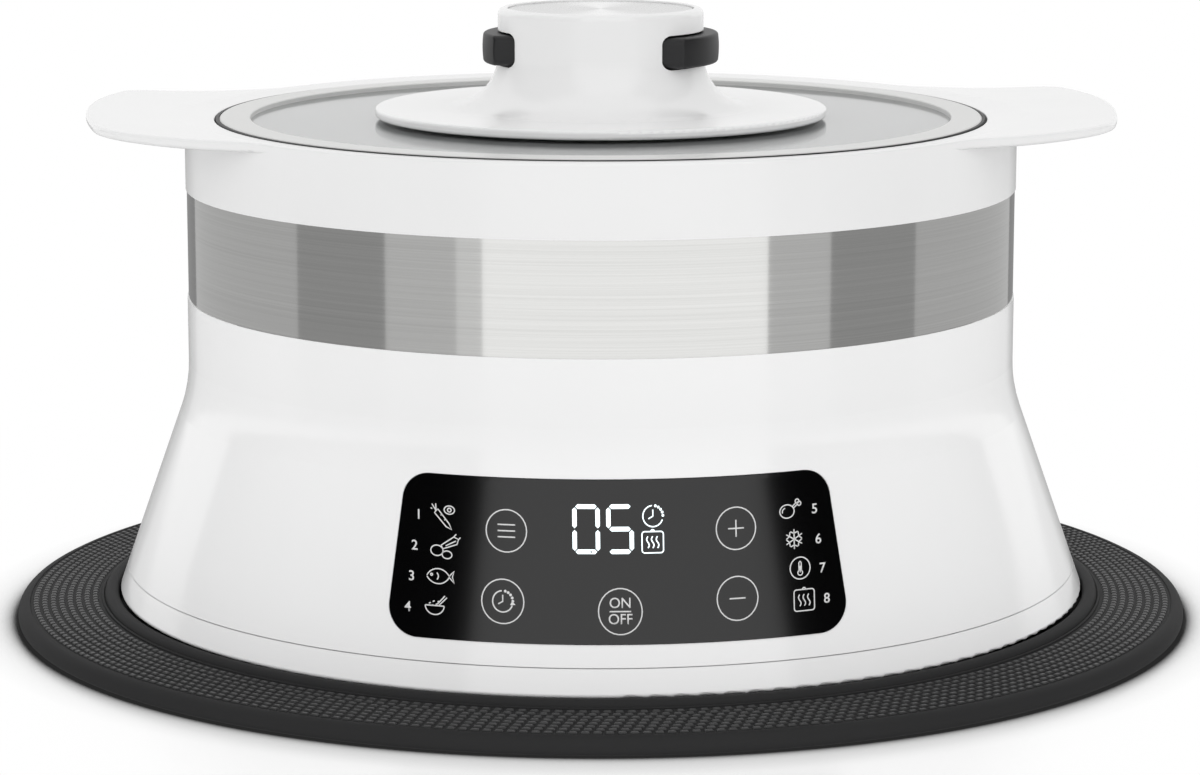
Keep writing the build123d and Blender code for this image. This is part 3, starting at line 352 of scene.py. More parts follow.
def filled(outlines):
    """Flat filled shapes from closed outlines of (x, z) in millimetres."""
    curve = bpy.data.curves.new("filled", "CURVE")
    curve.dimensions = "2D"
    curve.fill_mode = "BOTH"
    for outline in outlines:
        spline = curve.splines.new("POLY")
        spline.points.add(len(outline) - 1)
        spline.use_cyclic_u = True
        for point, (x, z) in zip(spline.points, outline):
            point.co = (x * MM, z * MM, 0, 1)
    drawing = bpy.data.objects.new("filled", curve)
    bpy.context.scene.collection.objects.link(drawing)
    only(drawing)
    bpy.ops.object.convert(target="MESH")
    return bpy.context.object


def written(text, x, z, size, bold=0.0):
    """A word or number centred on (x, z) in millimetres."""
    clear_selection()
    bpy.ops.object.text_add(location=(x * MM, z * MM, 0))
    word = bpy.context.object
    word.data.body = text
    word.data.size = size
    word.data.align_x = "CENTER"
    word.data.align_y = "CENTER"
    word.data.offset = bold
    bpy.ops.object.convert(target="MESH")
    return bpy.context.object


def printed(name, drawings, sizes):
    """Lay flat drawings on the fascia's face as a thin layer of ink."""
    piece = joined(name, drawings)
    edit(piece)
    bpy.ops.mesh.select_all(action="SELECT")
    bpy.ops.mesh.remove_doubles(threshold=MM / 500)
    bpy.ops.mesh.dissolve_degenerate(threshold=MM / 1000)
    bpy.ops.object.mode_set(mode="OBJECT")
    piece.rotation_euler = (pi / 2, 0, 0)
    piece.location = (0, FASCIA_LOW.y - 10 * MM, 0)
    bpy.ops.object.transform_apply(location=True, rotation=True, scale=True)
    modified(
        piece,
        "SHRINKWRAP",
        target=frame["nodes"]["control_fascia"],
        wrap_method="PROJECT",
        use_project_y=True,
        use_negative_direction=False,
        use_positive_direction=True,
        offset=PRINT_LIFT,
    )
    edit(piece)
    bpy.ops.mesh.select_all(action="SELECT")
    bpy.ops.mesh.normals_make_consistent(inside=False)
    bpy.ops.object.mode_set(mode="OBJECT")
    front = sum(face.normal.y * face.area for face in piece.data.polygons)
    if front > 0:
        bpy.ops.object.mode_set(mode="EDIT")
        bpy.ops.mesh.flip_normals()
        bpy.ops.object.mode_set(mode="OBJECT")
    return modified(piece, "SOLIDIFY", thickness=sizes.ink, offset=1.0)


# ---------------------------------------------------------------- node helpers
SLOW_SCALE = 18.0          # slow changes of gloss, per metre
SOFT_SCALE = 9.0           # soft changes of colour, per metre
BROAD_SCALE = 90.0         # broad shades across upright brush lines, per metre
UPRIGHT_STRETCH = 0.03     # upright brush lines change this much more slowly along their length
TURNED_STRETCH = 0.0004    # turned lines change as slowly, in metres for each radian
PAINTED_FAN_POWER = 9.0            # sharpness of the two painted highlight fans on a turned disc


def node(tree, kind, inputs=None, **values):
    """Add a shader node, set its properties and connect or fill its inputs."""
    made = tree.nodes.new(kind)
    for name, value in values.items():
        setattr(made, name, value)
    for key, value in (inputs or {}).items():
        if isinstance(value, bpy.types.NodeSocket):
            tree.links.new(value, made.inputs[key])
        else:
            made.inputs[key].default_value = value
    return made


def maths(tree, operation, first, second=0.0):
    """A Math node's result."""
    return node(tree, "ShaderNodeMath", {0: first, 1: second}, operation=operation).outputs[0]


def ramp(tree, value, low, high, out_low, out_high):
    """Map a value from one range to another, clamped."""
    inputs = {
        "Value": value,
        "From Min": low,
        "From Max": high,
        "To Min": out_low,
        "To Max": out_high,
    }
    return node(tree, "ShaderNodeMapRange", inputs).outputs["Result"]


def effect(name, inputs, outputs):
    """An empty node group with float inputs and outputs, and its two end nodes."""
    tree = bpy.data.node_groups.new(name, "ShaderNodeTree")
    for label, value in inputs:
        socket = tree.interface.new_socket(name=label, in_out="INPUT", socket_type="NodeSocketFloat")
        socket.default_value = value
    for label in outputs:
        tree.interface.new_socket(name=label, in_out="OUTPUT", socket_type="NodeSocketFloat")
    given = tree.nodes.new("NodeGroupInput")
    result = tree.nodes.new("NodeGroupOutput")
    return tree, given.outputs, result.inputs


def place_effect(tree, name, **values):
    """Put one of the shared effects in a material."""
    made = tree.nodes.new("ShaderNodeGroup")
    made.node_tree = bpy.data.node_groups[name]
    for label, value in values.items():
        made.inputs[label.replace("_", " ")].default_value = value
    return made.outputs


def object_place(tree):
    """Object coordinates, whole and split into X, Y and Z."""
    place = node(tree, "ShaderNodeTexCoord").outputs["Object"]
    return place, node(tree, "ShaderNodeSeparateXYZ", {0: place}).outputs


def level_place(tree, split):
    """A split place with its height taken out."""
    return node(tree, "ShaderNodeCombineXYZ", {"X": split["X"], "Y": split["Y"]}).outputs[0]


def vector_length(tree, place):
    """Distance of a place from the origin."""
    return node(tree, "ShaderNodeVectorMath", {0: place}, operation="LENGTH").outputs["Value"]


def noise(tree, place, scale, detail):
    """A noise texture's value."""
    inputs = {"Vector": place, "Scale": scale, "Detail": detail}
    return node(tree, "ShaderNodeTexNoise", inputs).outputs["Fac"]


def sway_roughness(tree, given, result, value):
    """Put out the given roughness, swayed up and down by a noise."""
    swing = maths(tree, "MULTIPLY", maths(tree, "SUBTRACT", value, 0.5), given["Variation"])
    tree.links.new(maths(tree, "ADD", given["Roughness"], swing), result["Roughness"])


def build_moulding():
    """Grain and slow gloss changes of a moulded surface."""
    tree, given, result = effect(
        "Moulded surface",
        [("Roughness", 0.3), ("Variation", 0.05), ("Grain Size", 0.001)],
        ["Roughness", "Height"],
    )
    place = node(tree, "ShaderNodeTexCoord").outputs["Object"]
    sway_roughness(tree, given, result, noise(tree, place, SLOW_SCALE, 3.0))
    scale = maths(tree, "DIVIDE", 1.0, given["Grain Size"])
    tree.links.new(noise(tree, place, scale, 2.0), result["Height"])


def build_upright_brush():
    """Fine upright brush lines on a wall that stands round the axis."""
    tree, given, result = effect(
        "Upright brush",
        [("Roughness", 0.25), ("Variation", 0.1), ("Line Size", 0.0004)],
        ["Roughness", "Height", "Shade"],
    )
    _, split = object_place(tree)
    rise = maths(tree, "MULTIPLY", split["Z"], UPRIGHT_STRETCH)
    lift = node(tree, "ShaderNodeCombineXYZ", {"Z": rise}).outputs[0]
    inputs = {0: level_place(tree, split), 1: lift}
    line = node(tree, "ShaderNodeVectorMath", inputs, operation="ADD").outputs[0]
    fine = noise(tree, line, maths(tree, "DIVIDE", 1.0, given["Line Size"]), 3.0)
    broad = noise(tree, line, BROAD_SCALE, 2.0)
    sway_roughness(tree, given, result, fine)
    tree.links.new(fine, result["Height"])
    tree.links.new(maths(tree, "MULTIPLY", fine, broad), result["Shade"])


def build_turned_brush():
    """Fine turning lines round the axis on a flat or bowl-shaped metal part, and two fans, front and back, for a
    painted highlight.
    """
    tree, given, result = effect(
        "Turned brush",
        [("Roughness", 0.25), ("Variation", 0.1), ("Line Size", 0.0004)],
        ["Roughness", "Height", "Shade", "Fan"],
    )
    _, split = object_place(tree)
    radius = vector_length(tree, level_place(tree, split))
    turn = maths(tree, "MULTIPLY", maths(tree, "ARCTAN2", split["Y"], split["X"]), TURNED_STRETCH)
    line = node(tree, "ShaderNodeCombineXYZ", {"X": radius, "Y": turn, "Z": split["Z"]}).outputs[0]
    fine = noise(tree, line, maths(tree, "DIVIDE", 1.0, given["Line Size"]), 3.0)
    sway_roughness(tree, given, result, fine)
    tree.links.new(fine, result["Height"])
    tree.links.new(fine, result["Shade"])
    # Painted highlight: two pale fans towards the front and back stand in for the disc's spun reflection
    along = maths(tree, "ABSOLUTE", maths(tree, "DIVIDE", split["Y"], radius))
    tree.links.new(maths(tree, "POWER", along, PAINTED_FAN_POWER), result["Fan"])


def finish_name(slot):
    """Name of the finish for a material slot; the solids arrive with plain ones named as the slots."""
    return slot + "_finish"


def put_finish(piece, slot):
    """Give an object one finish."""
    piece.data.materials.clear()
    piece.data.materials.append(bpy.data.materials[finish_name(slot)])


def finish_material(name, paint, metallic=0.0, ior=1.5, specular=0.5):
    """A new material with its Principled shader's plain values set."""
    material = bpy.data.materials.new(finish_name(name))
    material.use_nodes = True
    shader = material.node_tree.nodes["Principled BSDF"]
    shader.inputs["Base Color"].default_value = (*paint, 1.0)
    shader.inputs["Metallic"].default_value = metallic
    shader.inputs["IOR"].default_value = ior
    shader.inputs["Specular IOR Level"].default_value = specular
    return material, material.node_tree, shader


def surface(tree, shader, outputs, depth):
    """Feed an effect's roughness and height to the shader."""
    tree.links.new(outputs["Roughness"], shader.inputs["Roughness"])
    if depth:
        inputs = {"Height": outputs["Height"], "Distance": depth, "Strength": 1.0}
        bump = node(tree, "ShaderNodeBump", inputs)
        tree.links.new(bump.outputs["Normal"], shader.inputs["Normal"])


def tinted(tree, shader, mask, dark, light):
    """Vary the shader's colour between two by a mask."""
    blend = node(tree, "ShaderNodeMix", data_type="RGBA")
    tree.links.new(mask, blend.inputs["Factor"])
    colours = [socket for socket in blend.inputs if socket.type == "RGBA"]
    colours[0].default_value = (*dark, 1.0)
    colours[1].default_value = (*light, 1.0)
    result = [socket for socket in blend.outputs if socket.type == "RGBA"][0]
    tree.links.new(result, shader.inputs["Base Color"])


def moulded(name, paint, roughness, variation=0.04, grain=0.0009, depth=0.000004, **values):
    """Moulded plastic or rubber."""
    material, tree, shader = finish_material(name, paint, **values)
    outputs = place_effect(
        tree, "Moulded surface", Roughness=roughness, Variation=variation, Grain_Size=grain
    )
    surface(tree, shader, outputs, depth)
    soft = noise(tree, node(tree, "ShaderNodeTexCoord").outputs["Object"], SOFT_SCALE, 4.0)
    dark, light = [0.96 * c for c in paint], [min(1, 1.04 * c) for c in paint]
    tinted(tree, shader, soft, dark, light)
    return material


def brushed(name, effect_name, dark, light, roughness, variation, line, depth, shade="Shade"):
    """Brushed or turned metal."""
    material, tree, shader = finish_material(name, light, metallic=1.0)
    outputs = place_effect(tree, effect_name, Roughness=roughness, Variation=variation, Line_Size=line)
    surface(tree, shader, outputs, depth)
    tinted(tree, shader, outputs[shade], dark, light)
    return material


FLARE = radians(19.54)     # slope of the base's outer wall
FOOT_ROUNDING = 1.2 * MM   # lower edge of the base
FOOT_SKIN = 0.36           # depth that counts as outside, as a share of that rounding


def rounded_foot(material):
    """Shade the outside of the base's lower moulding as a true cone that ends in a quarter round."""
    tree = material.node_tree
    middle_r, middle_z = TRAY_HIGH.x - FOOT_ROUNDING, TRAY_LOW.z + FOOT_ROUNDING
    _, split = object_place(tree)
    level = level_place(tree, split)
    radius = vector_length(tree, level)
    outward = node(tree, "ShaderNodeVectorMath", {0: level}, operation="NORMALIZE").outputs[0]
    above = maths(tree, "SUBTRACT", split["Z"], middle_z)
    tilt = sin(FLARE)
    upward = ramp(tree, above, -FOOT_ROUNDING, FOOT_ROUNDING * tilt, -1.0, tilt)
    square = maths(tree, "MULTIPLY", upward, upward)
    aside = maths(tree, "SQRT", maths(tree, "SUBTRACT", 1.0, square))
    inputs = {0: outward, "Scale": aside}
    sideways = node(tree, "ShaderNodeVectorMath", inputs, operation="SCALE").outputs[0]
    upright = node(tree, "ShaderNodeCombineXYZ", {"Z": upward}).outputs[0]
    inputs = {0: sideways, 1: upright}
    turned = node(tree, "ShaderNodeVectorMath", inputs, operation="ADD").outputs[0]
    turned = node(
        tree,
        "ShaderNodeVectorTransform",
        {0: turned},
        vector_type="NORMAL",
        convert_from="OBJECT",
        convert_to="WORLD",
    ).outputs[0]
    plain = node(tree, "ShaderNodeNewGeometry").outputs["Normal"]
    reach = maths(tree, "ADD", radius, maths(tree, "MULTIPLY", above, tan(FLARE)))
    outside = maths(tree, "GREATER_THAN", reach, middle_r - FOOT_SKIN * FOOT_ROUNDING)
    pair = node(tree, "ShaderNodeMix", data_type="VECTOR")
    tree.links.new(outside, pair.inputs["Factor"])
    vectors = [
        socket
        for socket in pair.inputs
        if socket.type == "VECTOR" and not socket.name.startswith("Factor")
    ]
    tree.links.new(plain, vectors[0])
    tree.links.new(turned, vectors[1])
    normal = [socket for socket in pair.outputs if socket.type == "VECTOR"][0]
    for bump in [item for item in tree.nodes if item.bl_idname == "ShaderNodeBump"]:
        tree.links.new(normal, bump.inputs["Normal"])


def grey(value):
    """A neutral linear colour."""
    return (value, value, value)


# ---------------------------------------------------------------- operators
class STEAMER_OT_finishes(bpy.types.Operator):
    """Make the materials and put them on the solids"""

    bl_idname = "steamer.finishes"
    bl_label = "Finishes"

    def execute(self, context):
        colours = context.scene.steamer_colours
        build_moulding()
        build_upright_brush()
        build_turned_brush()
        moulded("mat_silicone", colours.mat, 0.6, 0.1, 0.0005, 0.00001, specular=0.05)
        # The studs are painted lighter than the mat: a painted highlight for the light that catches them
        lit_stud_paint = [1.4 * c for c in colours.mat]
        moulded("mat_stud", lit_stud_paint, 0.45, 0.1, 0.0005, 0.00001, specular=0.3)
        # The gloss white is painted lighter than the satin white, painted light that offsets the shade on the
        # lower base; the two differ in roughness too
        moulded("white_gloss", colours.body, 0.13, 0.03)
        moulded("white_satin", colours.top, 0.20, 0.04)
        rounded_foot(moulded("white_skirt", colours.body, 0.13, 0.03))
        moulded("fascia_black", colours.fascia, 0.15, 0.01, depth=0.0)
        moulded("display_black", grey(0.01), 0.3)
        moulded("ring_satin", (0.70, 0.70, 0.69), 0.34, 0.06)
        moulded("gasket_silicone", grey(0.006), 0.5, 0.1)
        moulded("seal_silicone", (0.55, 0.56, 0.56), 0.45, 0.1)
        moulded("button_black", colours.grip, 0.48, 0.08, 0.0005, 0.000012, specular=0.4)
        moulded("black_rubber", grey(0.02), 0.65, 0.1, 0.0004, 0.00001)
        moulded("black_plastic", grey(0.025), 0.4, 0.08)
        moulded("light_plastic", (0.70, 0.69, 0.62), 0.4, 0.08)
        moulded("grey_plastic", (0.28, 0.29, 0.30), 0.4, 0.08, 0.0006, 0.000008)
        moulded("circuit_board", (0.02, 0.13, 0.05), 0.35, 0.1)
        moulded("lead_insulation", (0.5, 0.05, 0.03), 0.5, 0.1)
        moulded("panel_ink", colours.ink, 0.5, 0.05)
        dark, light = (0.50, 0.50, 0.49), (0.64, 0.64, 0.63)
        brushed("band_steel", "Turned brush", dark, light, 0.07, 0.05, 0.0005, 0.0000004)
        dark, light = grey(0.5), grey(0.62)
        brushed("tank_steel", "Upright brush", dark, light, 0.25, 0.1, 0.0006, 0.000002)
        brushed("heater_aluminium", "Turned brush", dark, light, 0.4, 0.1, 0.001, 0.00001)
        brushed("screw_steel", "Turned brush", dark, light, 0.3, 0.1, 0.0005, 0.000002)
        dark, light = grey(0.52), grey(0.66)
        brushed("bowl_steel", "Turned brush", dark, light, 0.22, 0.1, 0.0007, 0.000002)
        dark, light = grey(0.62), grey(0.84)
        # The inlay's pale fans are a painted highlight tinted into its colour
        brushed("inlay_metal", "Turned brush", dark, light, 0.28, 0.12, 0.0005, 0.0000006, "Fan")

        glass, tree, shader = finish_material("lid_glass", (0.50, 0.515, 0.515), ior=1.45)
        shader.inputs["Transmission Weight"].default_value = 0.6
        outputs = place_effect(
            tree, "Moulded surface", Roughness=0.10, Variation=0.04, Grain_Size=0.02
        )
        surface(tree, shader, outputs, 0.0)

        lit, tree, shader = finish_material("display_lit", colours.lit)
        shader.inputs["Emission Color"].default_value = (*colours.lit, 1.0)
        shader.inputs["Emission Strength"].default_value = 0.9

        for part in frame["record"]["subparts"]:
            put_finish(frame["nodes"][part["node"]], part["material_slot"])
        put_finish(frame["nodes"]["base_tray"], "white_skirt")
        # The collar takes the darker satin white: painted shade for the extra light on its open top
        put_finish(frame["nodes"]["bowl_collar"], "white_satin")
        return {"FINISHED"}


MAT_FACETS = 240
STUD_CHAMFER = 0.35 * MM


class STEAMER_OT_mat(bpy.types.Operator):
    """Build the silicone mat with its bead, rim and rings of studs"""

    bl_idname = "steamer.mat"
    bl_label = "Silicone mat"

    def execute(self, context):
        sizes = context.scene.steamer_mat
        outer = MAT_HIGH.x
        rim_in = outer - sizes.rim_width
        field_out = sizes.rim_height - sizes.field_drop
        field_in = field_out + sizes.field_rise
        bead_in = TRAY_HIGH.x + sizes.bead_gap
        bead_out = bead_in + sizes.bead_width
        bead_top = MAT_HIGH.z
        step = sizes.bead_step
        body = lathe(
            "mat_body",
            [
                (0, 0, 0),
                (outer, 0, sizes.foot_round),
                (outer, sizes.rim_height, sizes.rim_round),
                (rim_in, sizes.rim_height, sizes.field_drop / 3),
                (rim_in - sizes.field_drop / 2, field_out, 0),
                (bead_out, field_in, 0),
                (bead_out, field_in + 0.6 * step, 0.25 * step),
                (bead_out - 0.7 * step, field_in + 0.7 * step, 0.2 * step),
                (bead_out - step, field_in + 0.35 * step, 0),
                (bead_out - 1.2 * step, bead_top, sizes.bead_round),
                (bead_in, bead_top, sizes.bead_round),
                (bead_in, sizes.floor, 0),
                (0, sizes.floor, 0),
            ],
            MAT_FACETS,
        )
        rings = []
        first = bead_out + sizes.field_drop + sizes.stud_width
        last = rim_in - sizes.field_drop - sizes.stud_width
        apart = (last - first) / (sizes.stud_rows - 1)
        for row in range(sizes.stud_rows):
            radius = first + apart * row
            share = (rim_in - radius) / (rim_in - bead_out)
            field = field_out + share * sizes.field_rise
            rings.append(self.ring_of_studs(sizes, radius, field, row))
        studs = joined("mat_studs", rings)
        for piece, finish in ((body, "mat_silicone"), (studs, "mat_stud")):
            put_finish(piece, finish)
            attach(piece, "mat")
        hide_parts("silicone_mat")
        return {"FINISHED"}

    def ring_of_studs(self, sizes, radius, field, row):
        """One ring: a single bevelled stud, repeated round the axis."""
        clear_selection()
        bpy.ops.mesh.primitive_cube_add(size=1, location=(radius, 0, field))
        stud = bpy.context.object
        stud.scale = (sizes.stud_width, sizes.stud_length, 2 * sizes.stud_height)
        bpy.ops.object.transform_apply(location=True, rotation=True, scale=True)
        edit(stud)
        pick(stud, lambda middle, face: face.normal.z < -0.5, "polygons")
        bpy.ops.mesh.delete(type="FACE")
        top = field + sizes.stud_height
        pick(stud, lambda middle, _: middle.z > top - MM / 100, "polygons")
        bpy.ops.mesh.bevel(offset=STUD_CHAMFER, segments=1, affect="EDGES")
        count = int(2 * pi * radius / sizes.stud_pitch)
        offset = pi / count * (row % 2)
        bpy.ops.mesh.select_all(action="SELECT")
        bpy.ops.mesh.spin(
            steps=count - 1,
            dupli=True,
            angle=2 * pi * (count - 1) / count,
            center=(0, 0, 0),
            axis=(0, 0, 1),
        )
        bpy.ops.object.mode_set(mode="OBJECT")
        stud.rotation_euler = (0, 0, offset)
        bpy.ops.object.transform_apply(location=True, rotation=True, scale=True)
        return stud


# Places on the panel in millimetres: from the middle plane, and above the floor.
LEFT_MARKS = ((-61.6, 59.75), (-62.9, 50.65), (-63.9, 41.65), (-65.1, 32.65))
RIGHT_MARKS = ((61.4, 60.45), (62.4, 51.55), (63.5, 42.95), (64.7, 33.95))
MENU_HALF, MENU_GAP = 2.7, 1.8
PLUS_HALF = 2.5
POWER_HALF, POWER_WORD_LIFT = 3.3, 2.35
CLOCK_R = 3.1
BOLD = 0.02 * MM           # how much the printed words are fattened
NUMBER_BOLD = 0.05 * MM
PICTURE_LINE = 0.85        # finer than the printed lines by this much
SIGN_LINE = 0.9
KEYS = {
    "menu": (-34.6, 56.65, 6.2),
    "timer": (-35.9, 36.1, 6.45),
    "power": (0.0, 33.75, 6.7),
    "plus": (36.2, 56.75, 6.2),
    "minus": (36.3, 36.35, 6.4),
}


def shifted(lines, x, z):
    """Move lines by (x, z)."""
    return [[(px + x, pz + z) for px, pz in line] for line in lines]


def steam_pot(half_w, half_h):
    """Lidded pot with three curls of steam inside."""
    rise = 0.55 * half_h
    lines = [box_round(0, 0, half_w, half_h, 0.25 * half_w), arc(0, half_h, 0.16 * half_w, 0, 180)]
    return lines + [wave(s * 0.45 * half_w, -rise, rise, 0.12 * half_w) for s in (-1, 0, 1)]


def carrot():
    """Carrot with its leaves, and a pea pod beside it."""
    root = [(-2.6, 1.1), (-1.5, 2.2), (1.9, -1.9), (2.7, -3.6), (1.0, -2.8), (-2.6, 1.1)]
    leaves = [[(-2.1, 1.7), (-3.4, 3.6)], [(-2.1, 1.7), (-2.2, 3.8)], [(-2.1, 1.7), (-3.8, 2.4)]]
    ticks = [[(-0.7, 0.4), (-0.1, 0.8)], [(0.4, -1.0), (0.9, -0.6)]]
    pod = arc(2.0, 2.1, 1.6, 30, 390, 0.75)
    return [root, pod, arc(2.0, 2.1, 0.55, 0, 360)] + leaves + ticks


def leek():
    """Leek with two potatoes in front."""
    stem = [(-1.0, 0.4), (2.9, 3.0), (4.4, 2.4), (3.9, 0.9), (-0.4, -0.6), (-1.0, 0.4)]
    lines = [[(0.4, 0.3), (3.6, 1.9)], [(2.9, 3.0), (3.7, 3.9)], [(4.4, 2.4), (5.0, 3.0)]]
    potatoes = [arc(-2.3, -1.2, 1.9, 0, 360, 0.8), arc(0.8, -2.3, 1.5, 0, 360, 0.75)]
    return [stem] + lines + potatoes


def fish():
    """Fish seen from the side."""
    back = arc(-0.7, -1.7, 3.9, 28, 152)
    belly = arc(-0.7, 1.7, 3.9, -28, -152)
    tail = [(2.7, 0.1), (4.3, 1.8), (3.7, 0.0), (4.3, -1.8), (2.7, -0.1)]
    return [back, belly, tail, arc(-2.7, 0.4, 0.3, 0, 360), arc(-1.9, 0.0, 1.3, -50, 50)]


def rice_bowl():
    """Bowl of rice with two sticks."""
    places = ((-1.8, 0.9), (-0.6, 1.5), (0.3, 0.7), (-1.0, 0.3), (0.9, 1.5))
    grains = [[(x, z), (x + 0.6, z + 0.3)] for x, z in places]
    bowl = [arc(0, 0.4, 2.9, 180, 360, 0.9), [(-2.9, 0.4), (2.9, 0.4)]]
    sticks = [[(0.6, 0.6), (3.2, 3.4)], [(1.4, 0.6), (3.8, 2.9)]]
    return bowl + sticks + grains


def drumstick():
    """Roast leg on its bone."""
    meat = arc(-0.9, -0.4, 2.3, 40, 400, 0.85)
    knuckles = [arc(2.4, 2.4, 0.6, 0, 360), arc(3.0, 1.7, 0.6, 0, 360)]
    gleam = arc(-1.3, -0.5, 1.1, 100, 200)
    bone = [[(0.7, 0.8), (2.2, 2.1)], [(1.1, 0.3), (2.6, 1.6)]]
    return [meat] + knuckles + [gleam] + bone


def snowflake():
    """Six-armed snowflake."""
    lines = []
    tip, knee, twig, spread = 2.9, 1.7, 2.5, radians(28)
    for turn in range(6):
        a = radians(60 * turn + 30)
        lines.append([(0, 0), (tip * cos(a), tip * sin(a))])
        for b in (a - spread, a + spread):
            lines.append([(knee * cos(a), knee * sin(a)), (twig * cos(b), twig * sin(b))])
    return lines


def thermometer():
    """Thermometer in a ring."""
    bulb = arc(0, -1.35, 0.75, 120, 420)
    stem = [(-0.38, -0.7), (-0.38, 1.6), (0, 2.0), (0.38, 1.6), (0.38, -0.7)]
    return [arc(0, 0, 3.2, 0, 360), bulb, stem, [(0, -1.3), (0, 0.7)]]


def clock(radius):
    """Clock with a dotted last quarter."""
    turns = [radians(angle) for angle in (75, 57, 39, 21, 3)]
    dots = [arc(radius * cos(t), radius * sin(t), 0.07 * radius, 0, 360) for t in turns]
    hands = [[(0, 0.62 * radius), (0, 0), (-0.45 * radius, -0.25 * radius)]]
    return [arc(0, 0, radius, 95, 340)] + hands + dots


class STEAMER_OT_keys(bpy.types.Operator):
    """Print the five key rings and their signs on the fascia"""

    bl_idname = "steamer.keys"
    bl_label = "Key marks"

    def execute(self, context):
        sizes = context.scene.steamer_print
        rings = [arc(x, z, radius, 0, 360) for x, z, radius in KEYS.values()]
        drawings = [strokes(rings, sizes.ring_line)]
        across = [(-PLUS_HALF, 0), (PLUS_HALF, 0)]
        upright = [(0, -PLUS_HALF), (0, PLUS_HALF)]
        arrow = [(2.2, -1.0), (3.9, -0.9), (2.9, 0.2)]
        lifts = (-MENU_GAP, 0, MENU_GAP)
        drawn = {
            "menu": [[(-MENU_HALF, lift), (MENU_HALF, lift)] for lift in lifts],
            "plus": [across, upright],
            "minus": [across],
            "timer": clock(CLOCK_R),
            "power": [[(-POWER_HALF, 0), (POWER_HALF, 0)]],
        }
        signs = []
        for key, lines in drawn.items():
            signs += shifted(lines, *KEYS[key][:2])
        drawings.append(strokes(signs, sizes.line))
        drawings.append(filled(shifted([arrow], *KEYS["timer"][:2])))
        x, z, _ = KEYS["power"]
        for word, lift in (("ON", POWER_WORD_LIFT), ("OFF", -POWER_WORD_LIFT)):
            drawings.append(written(word, x, z + lift, sizes.word_height, BOLD))
        piece = printed("key_marks", drawings, sizes)
        put_finish(piece, "panel_ink")
        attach(piece, "base")
        return {"FINISHED"}


class STEAMER_OT_programmes(bpy.types.Operator):
    """Print the eight programme numbers and their pictures on the fascia"""

    bl_idname = "steamer.programmes"
    bl_label = "Programme marks"

    def execute(self, context):
        sizes = context.scene.steamer_print
        drawings = []
        for number, (x, z) in enumerate(LEFT_MARKS + RIGHT_MARKS, 1):
            drawings.append(written(str(number), x, z, sizes.number_height, NUMBER_BOLD))
        pictures = []
        for lines, x, z in (
            (carrot(), -54.1, 59.65),
            (leek(), -53.7, 50.95),
            (fish(), -55.0, 42.25),
            (rice_bowl(), -56.8, 33.25),
            (drumstick(), 53.4, 60.9),
            (snowflake(), 54.6, 52.25),
            (thermometer(), 56.3, 43.65),
            (steam_pot(3.25, 3.1), 57.4, 34.25),
        ):
            pictures += shifted(lines, x, z)
        drawings.append(strokes(pictures, PICTURE_LINE * sizes.line))
        piece = printed("programme_marks", drawings, sizes)
        put_finish(piece, "panel_ink")
        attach(piece, "base")
        return {"FINISHED"}


SEGMENTS = {
    "0": "abcdef", "1": "bc", "2": "abged", "3": "abgcd", "4": "fgbc",
    "5": "afgcd", "6": "afgedc", "7": "abc", "8": "abcdefg", "9": "abcdfg",
}
FIGURES_X, FIGURES_Z = (-10.15, 0.25), 57.7
FIGURE_HALF_W = 3.55
BAR_GAP = 0.25             # from the tip of a bar to the corner of its figure


def bar(x, z, half, thick, upright):
    """Outline of one bar of a figure, pointed at both ends."""
    t = thick / 2
    line = [(-half, 0), (-half + t, t), (half - t, t), (half, 0), (half - t, -t), (-half + t, -t)]
    if upright:
        line = [(-b, a) for a, b in line]
    return [(x + a, z + b) for a, b in line]


class STEAMER_OT_display(bpy.types.Operator):
    """Draw the display's lit figures and signs"""

    bl_idname = "steamer.display"
    bl_label = "Display"

    def execute(self, context):
        sizes = context.scene.steamer_print
        height, thick = sizes.figure_height / MM, sizes.figure_line / MM
        half_w, half = FIGURE_HALF_W, (height - thick) / 4
        places = {
            "a": (0, 2 * half, False), "g": (0, 0, False), "d": (0, -2 * half, False),
            "f": (-half_w, half, True), "b": (half_w, half, True),
            "e": (-half_w, -half, True), "c": (half_w, -half, True),
        }
        outlines = []
        for x, figure in zip(FIGURES_X, sizes.figures):
            for name in SEGMENTS[figure]:
                dx, dz, upright = places[name]
                reach = (half if upright else half_w) - BAR_GAP
                outlines.append(bar(x + dx, FIGURES_Z + dz, reach, thick, upright))
        drawings = [filled(outlines)]
        signs = shifted(clock(CLOCK_R), 10.4, 61.35) + shifted(steam_pot(3.3, 3.1), 10.25, 53.75)
        drawings.append(strokes(signs, SIGN_LINE * sizes.line))
        piece = printed("display_figures", drawings, sizes)
        put_finish(piece, "display_lit")
        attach(piece, "base")
        return {"FINISHED"}


class STEAMER_OT_springs(bpy.types.Operator):
    """Give each of the two latch springs its own copy of its mesh"""

    bl_idname = "steamer.springs"
    bl_label = "Latch springs"

    def execute(self, context):
        for joint in frame["joints"]:
            if not joint["name"].startswith("press_"):
                continue
            spring = frame["nodes"][joint["name"].replace("press", "latch_spring")]
            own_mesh(spring)
        return {"FINISHED"}


# Reflected cards: turns are degrees round from the front, rises degrees above the middle.
CARD_RADIUS = 2.2
CARD_MIDDLE = 0.14
CARD_FACETS = 16
SOFTBOX_TURNS = (-33, 42)
SOFTBOX_RISES = (-58, 62)
FLAG_END = 118
FLAG_RISES = (2, 62)
SCREEN_RISES = (-58, -4)   # up to where the floor begins
SCREEN_STRIPS = ((0, 0.9), (40, 0.7), (60, 0.4), (90, 0.6), (150, 0.3))   # from each turn on
LEVEL_RANGE = 2.0          # brightest level that a card can have

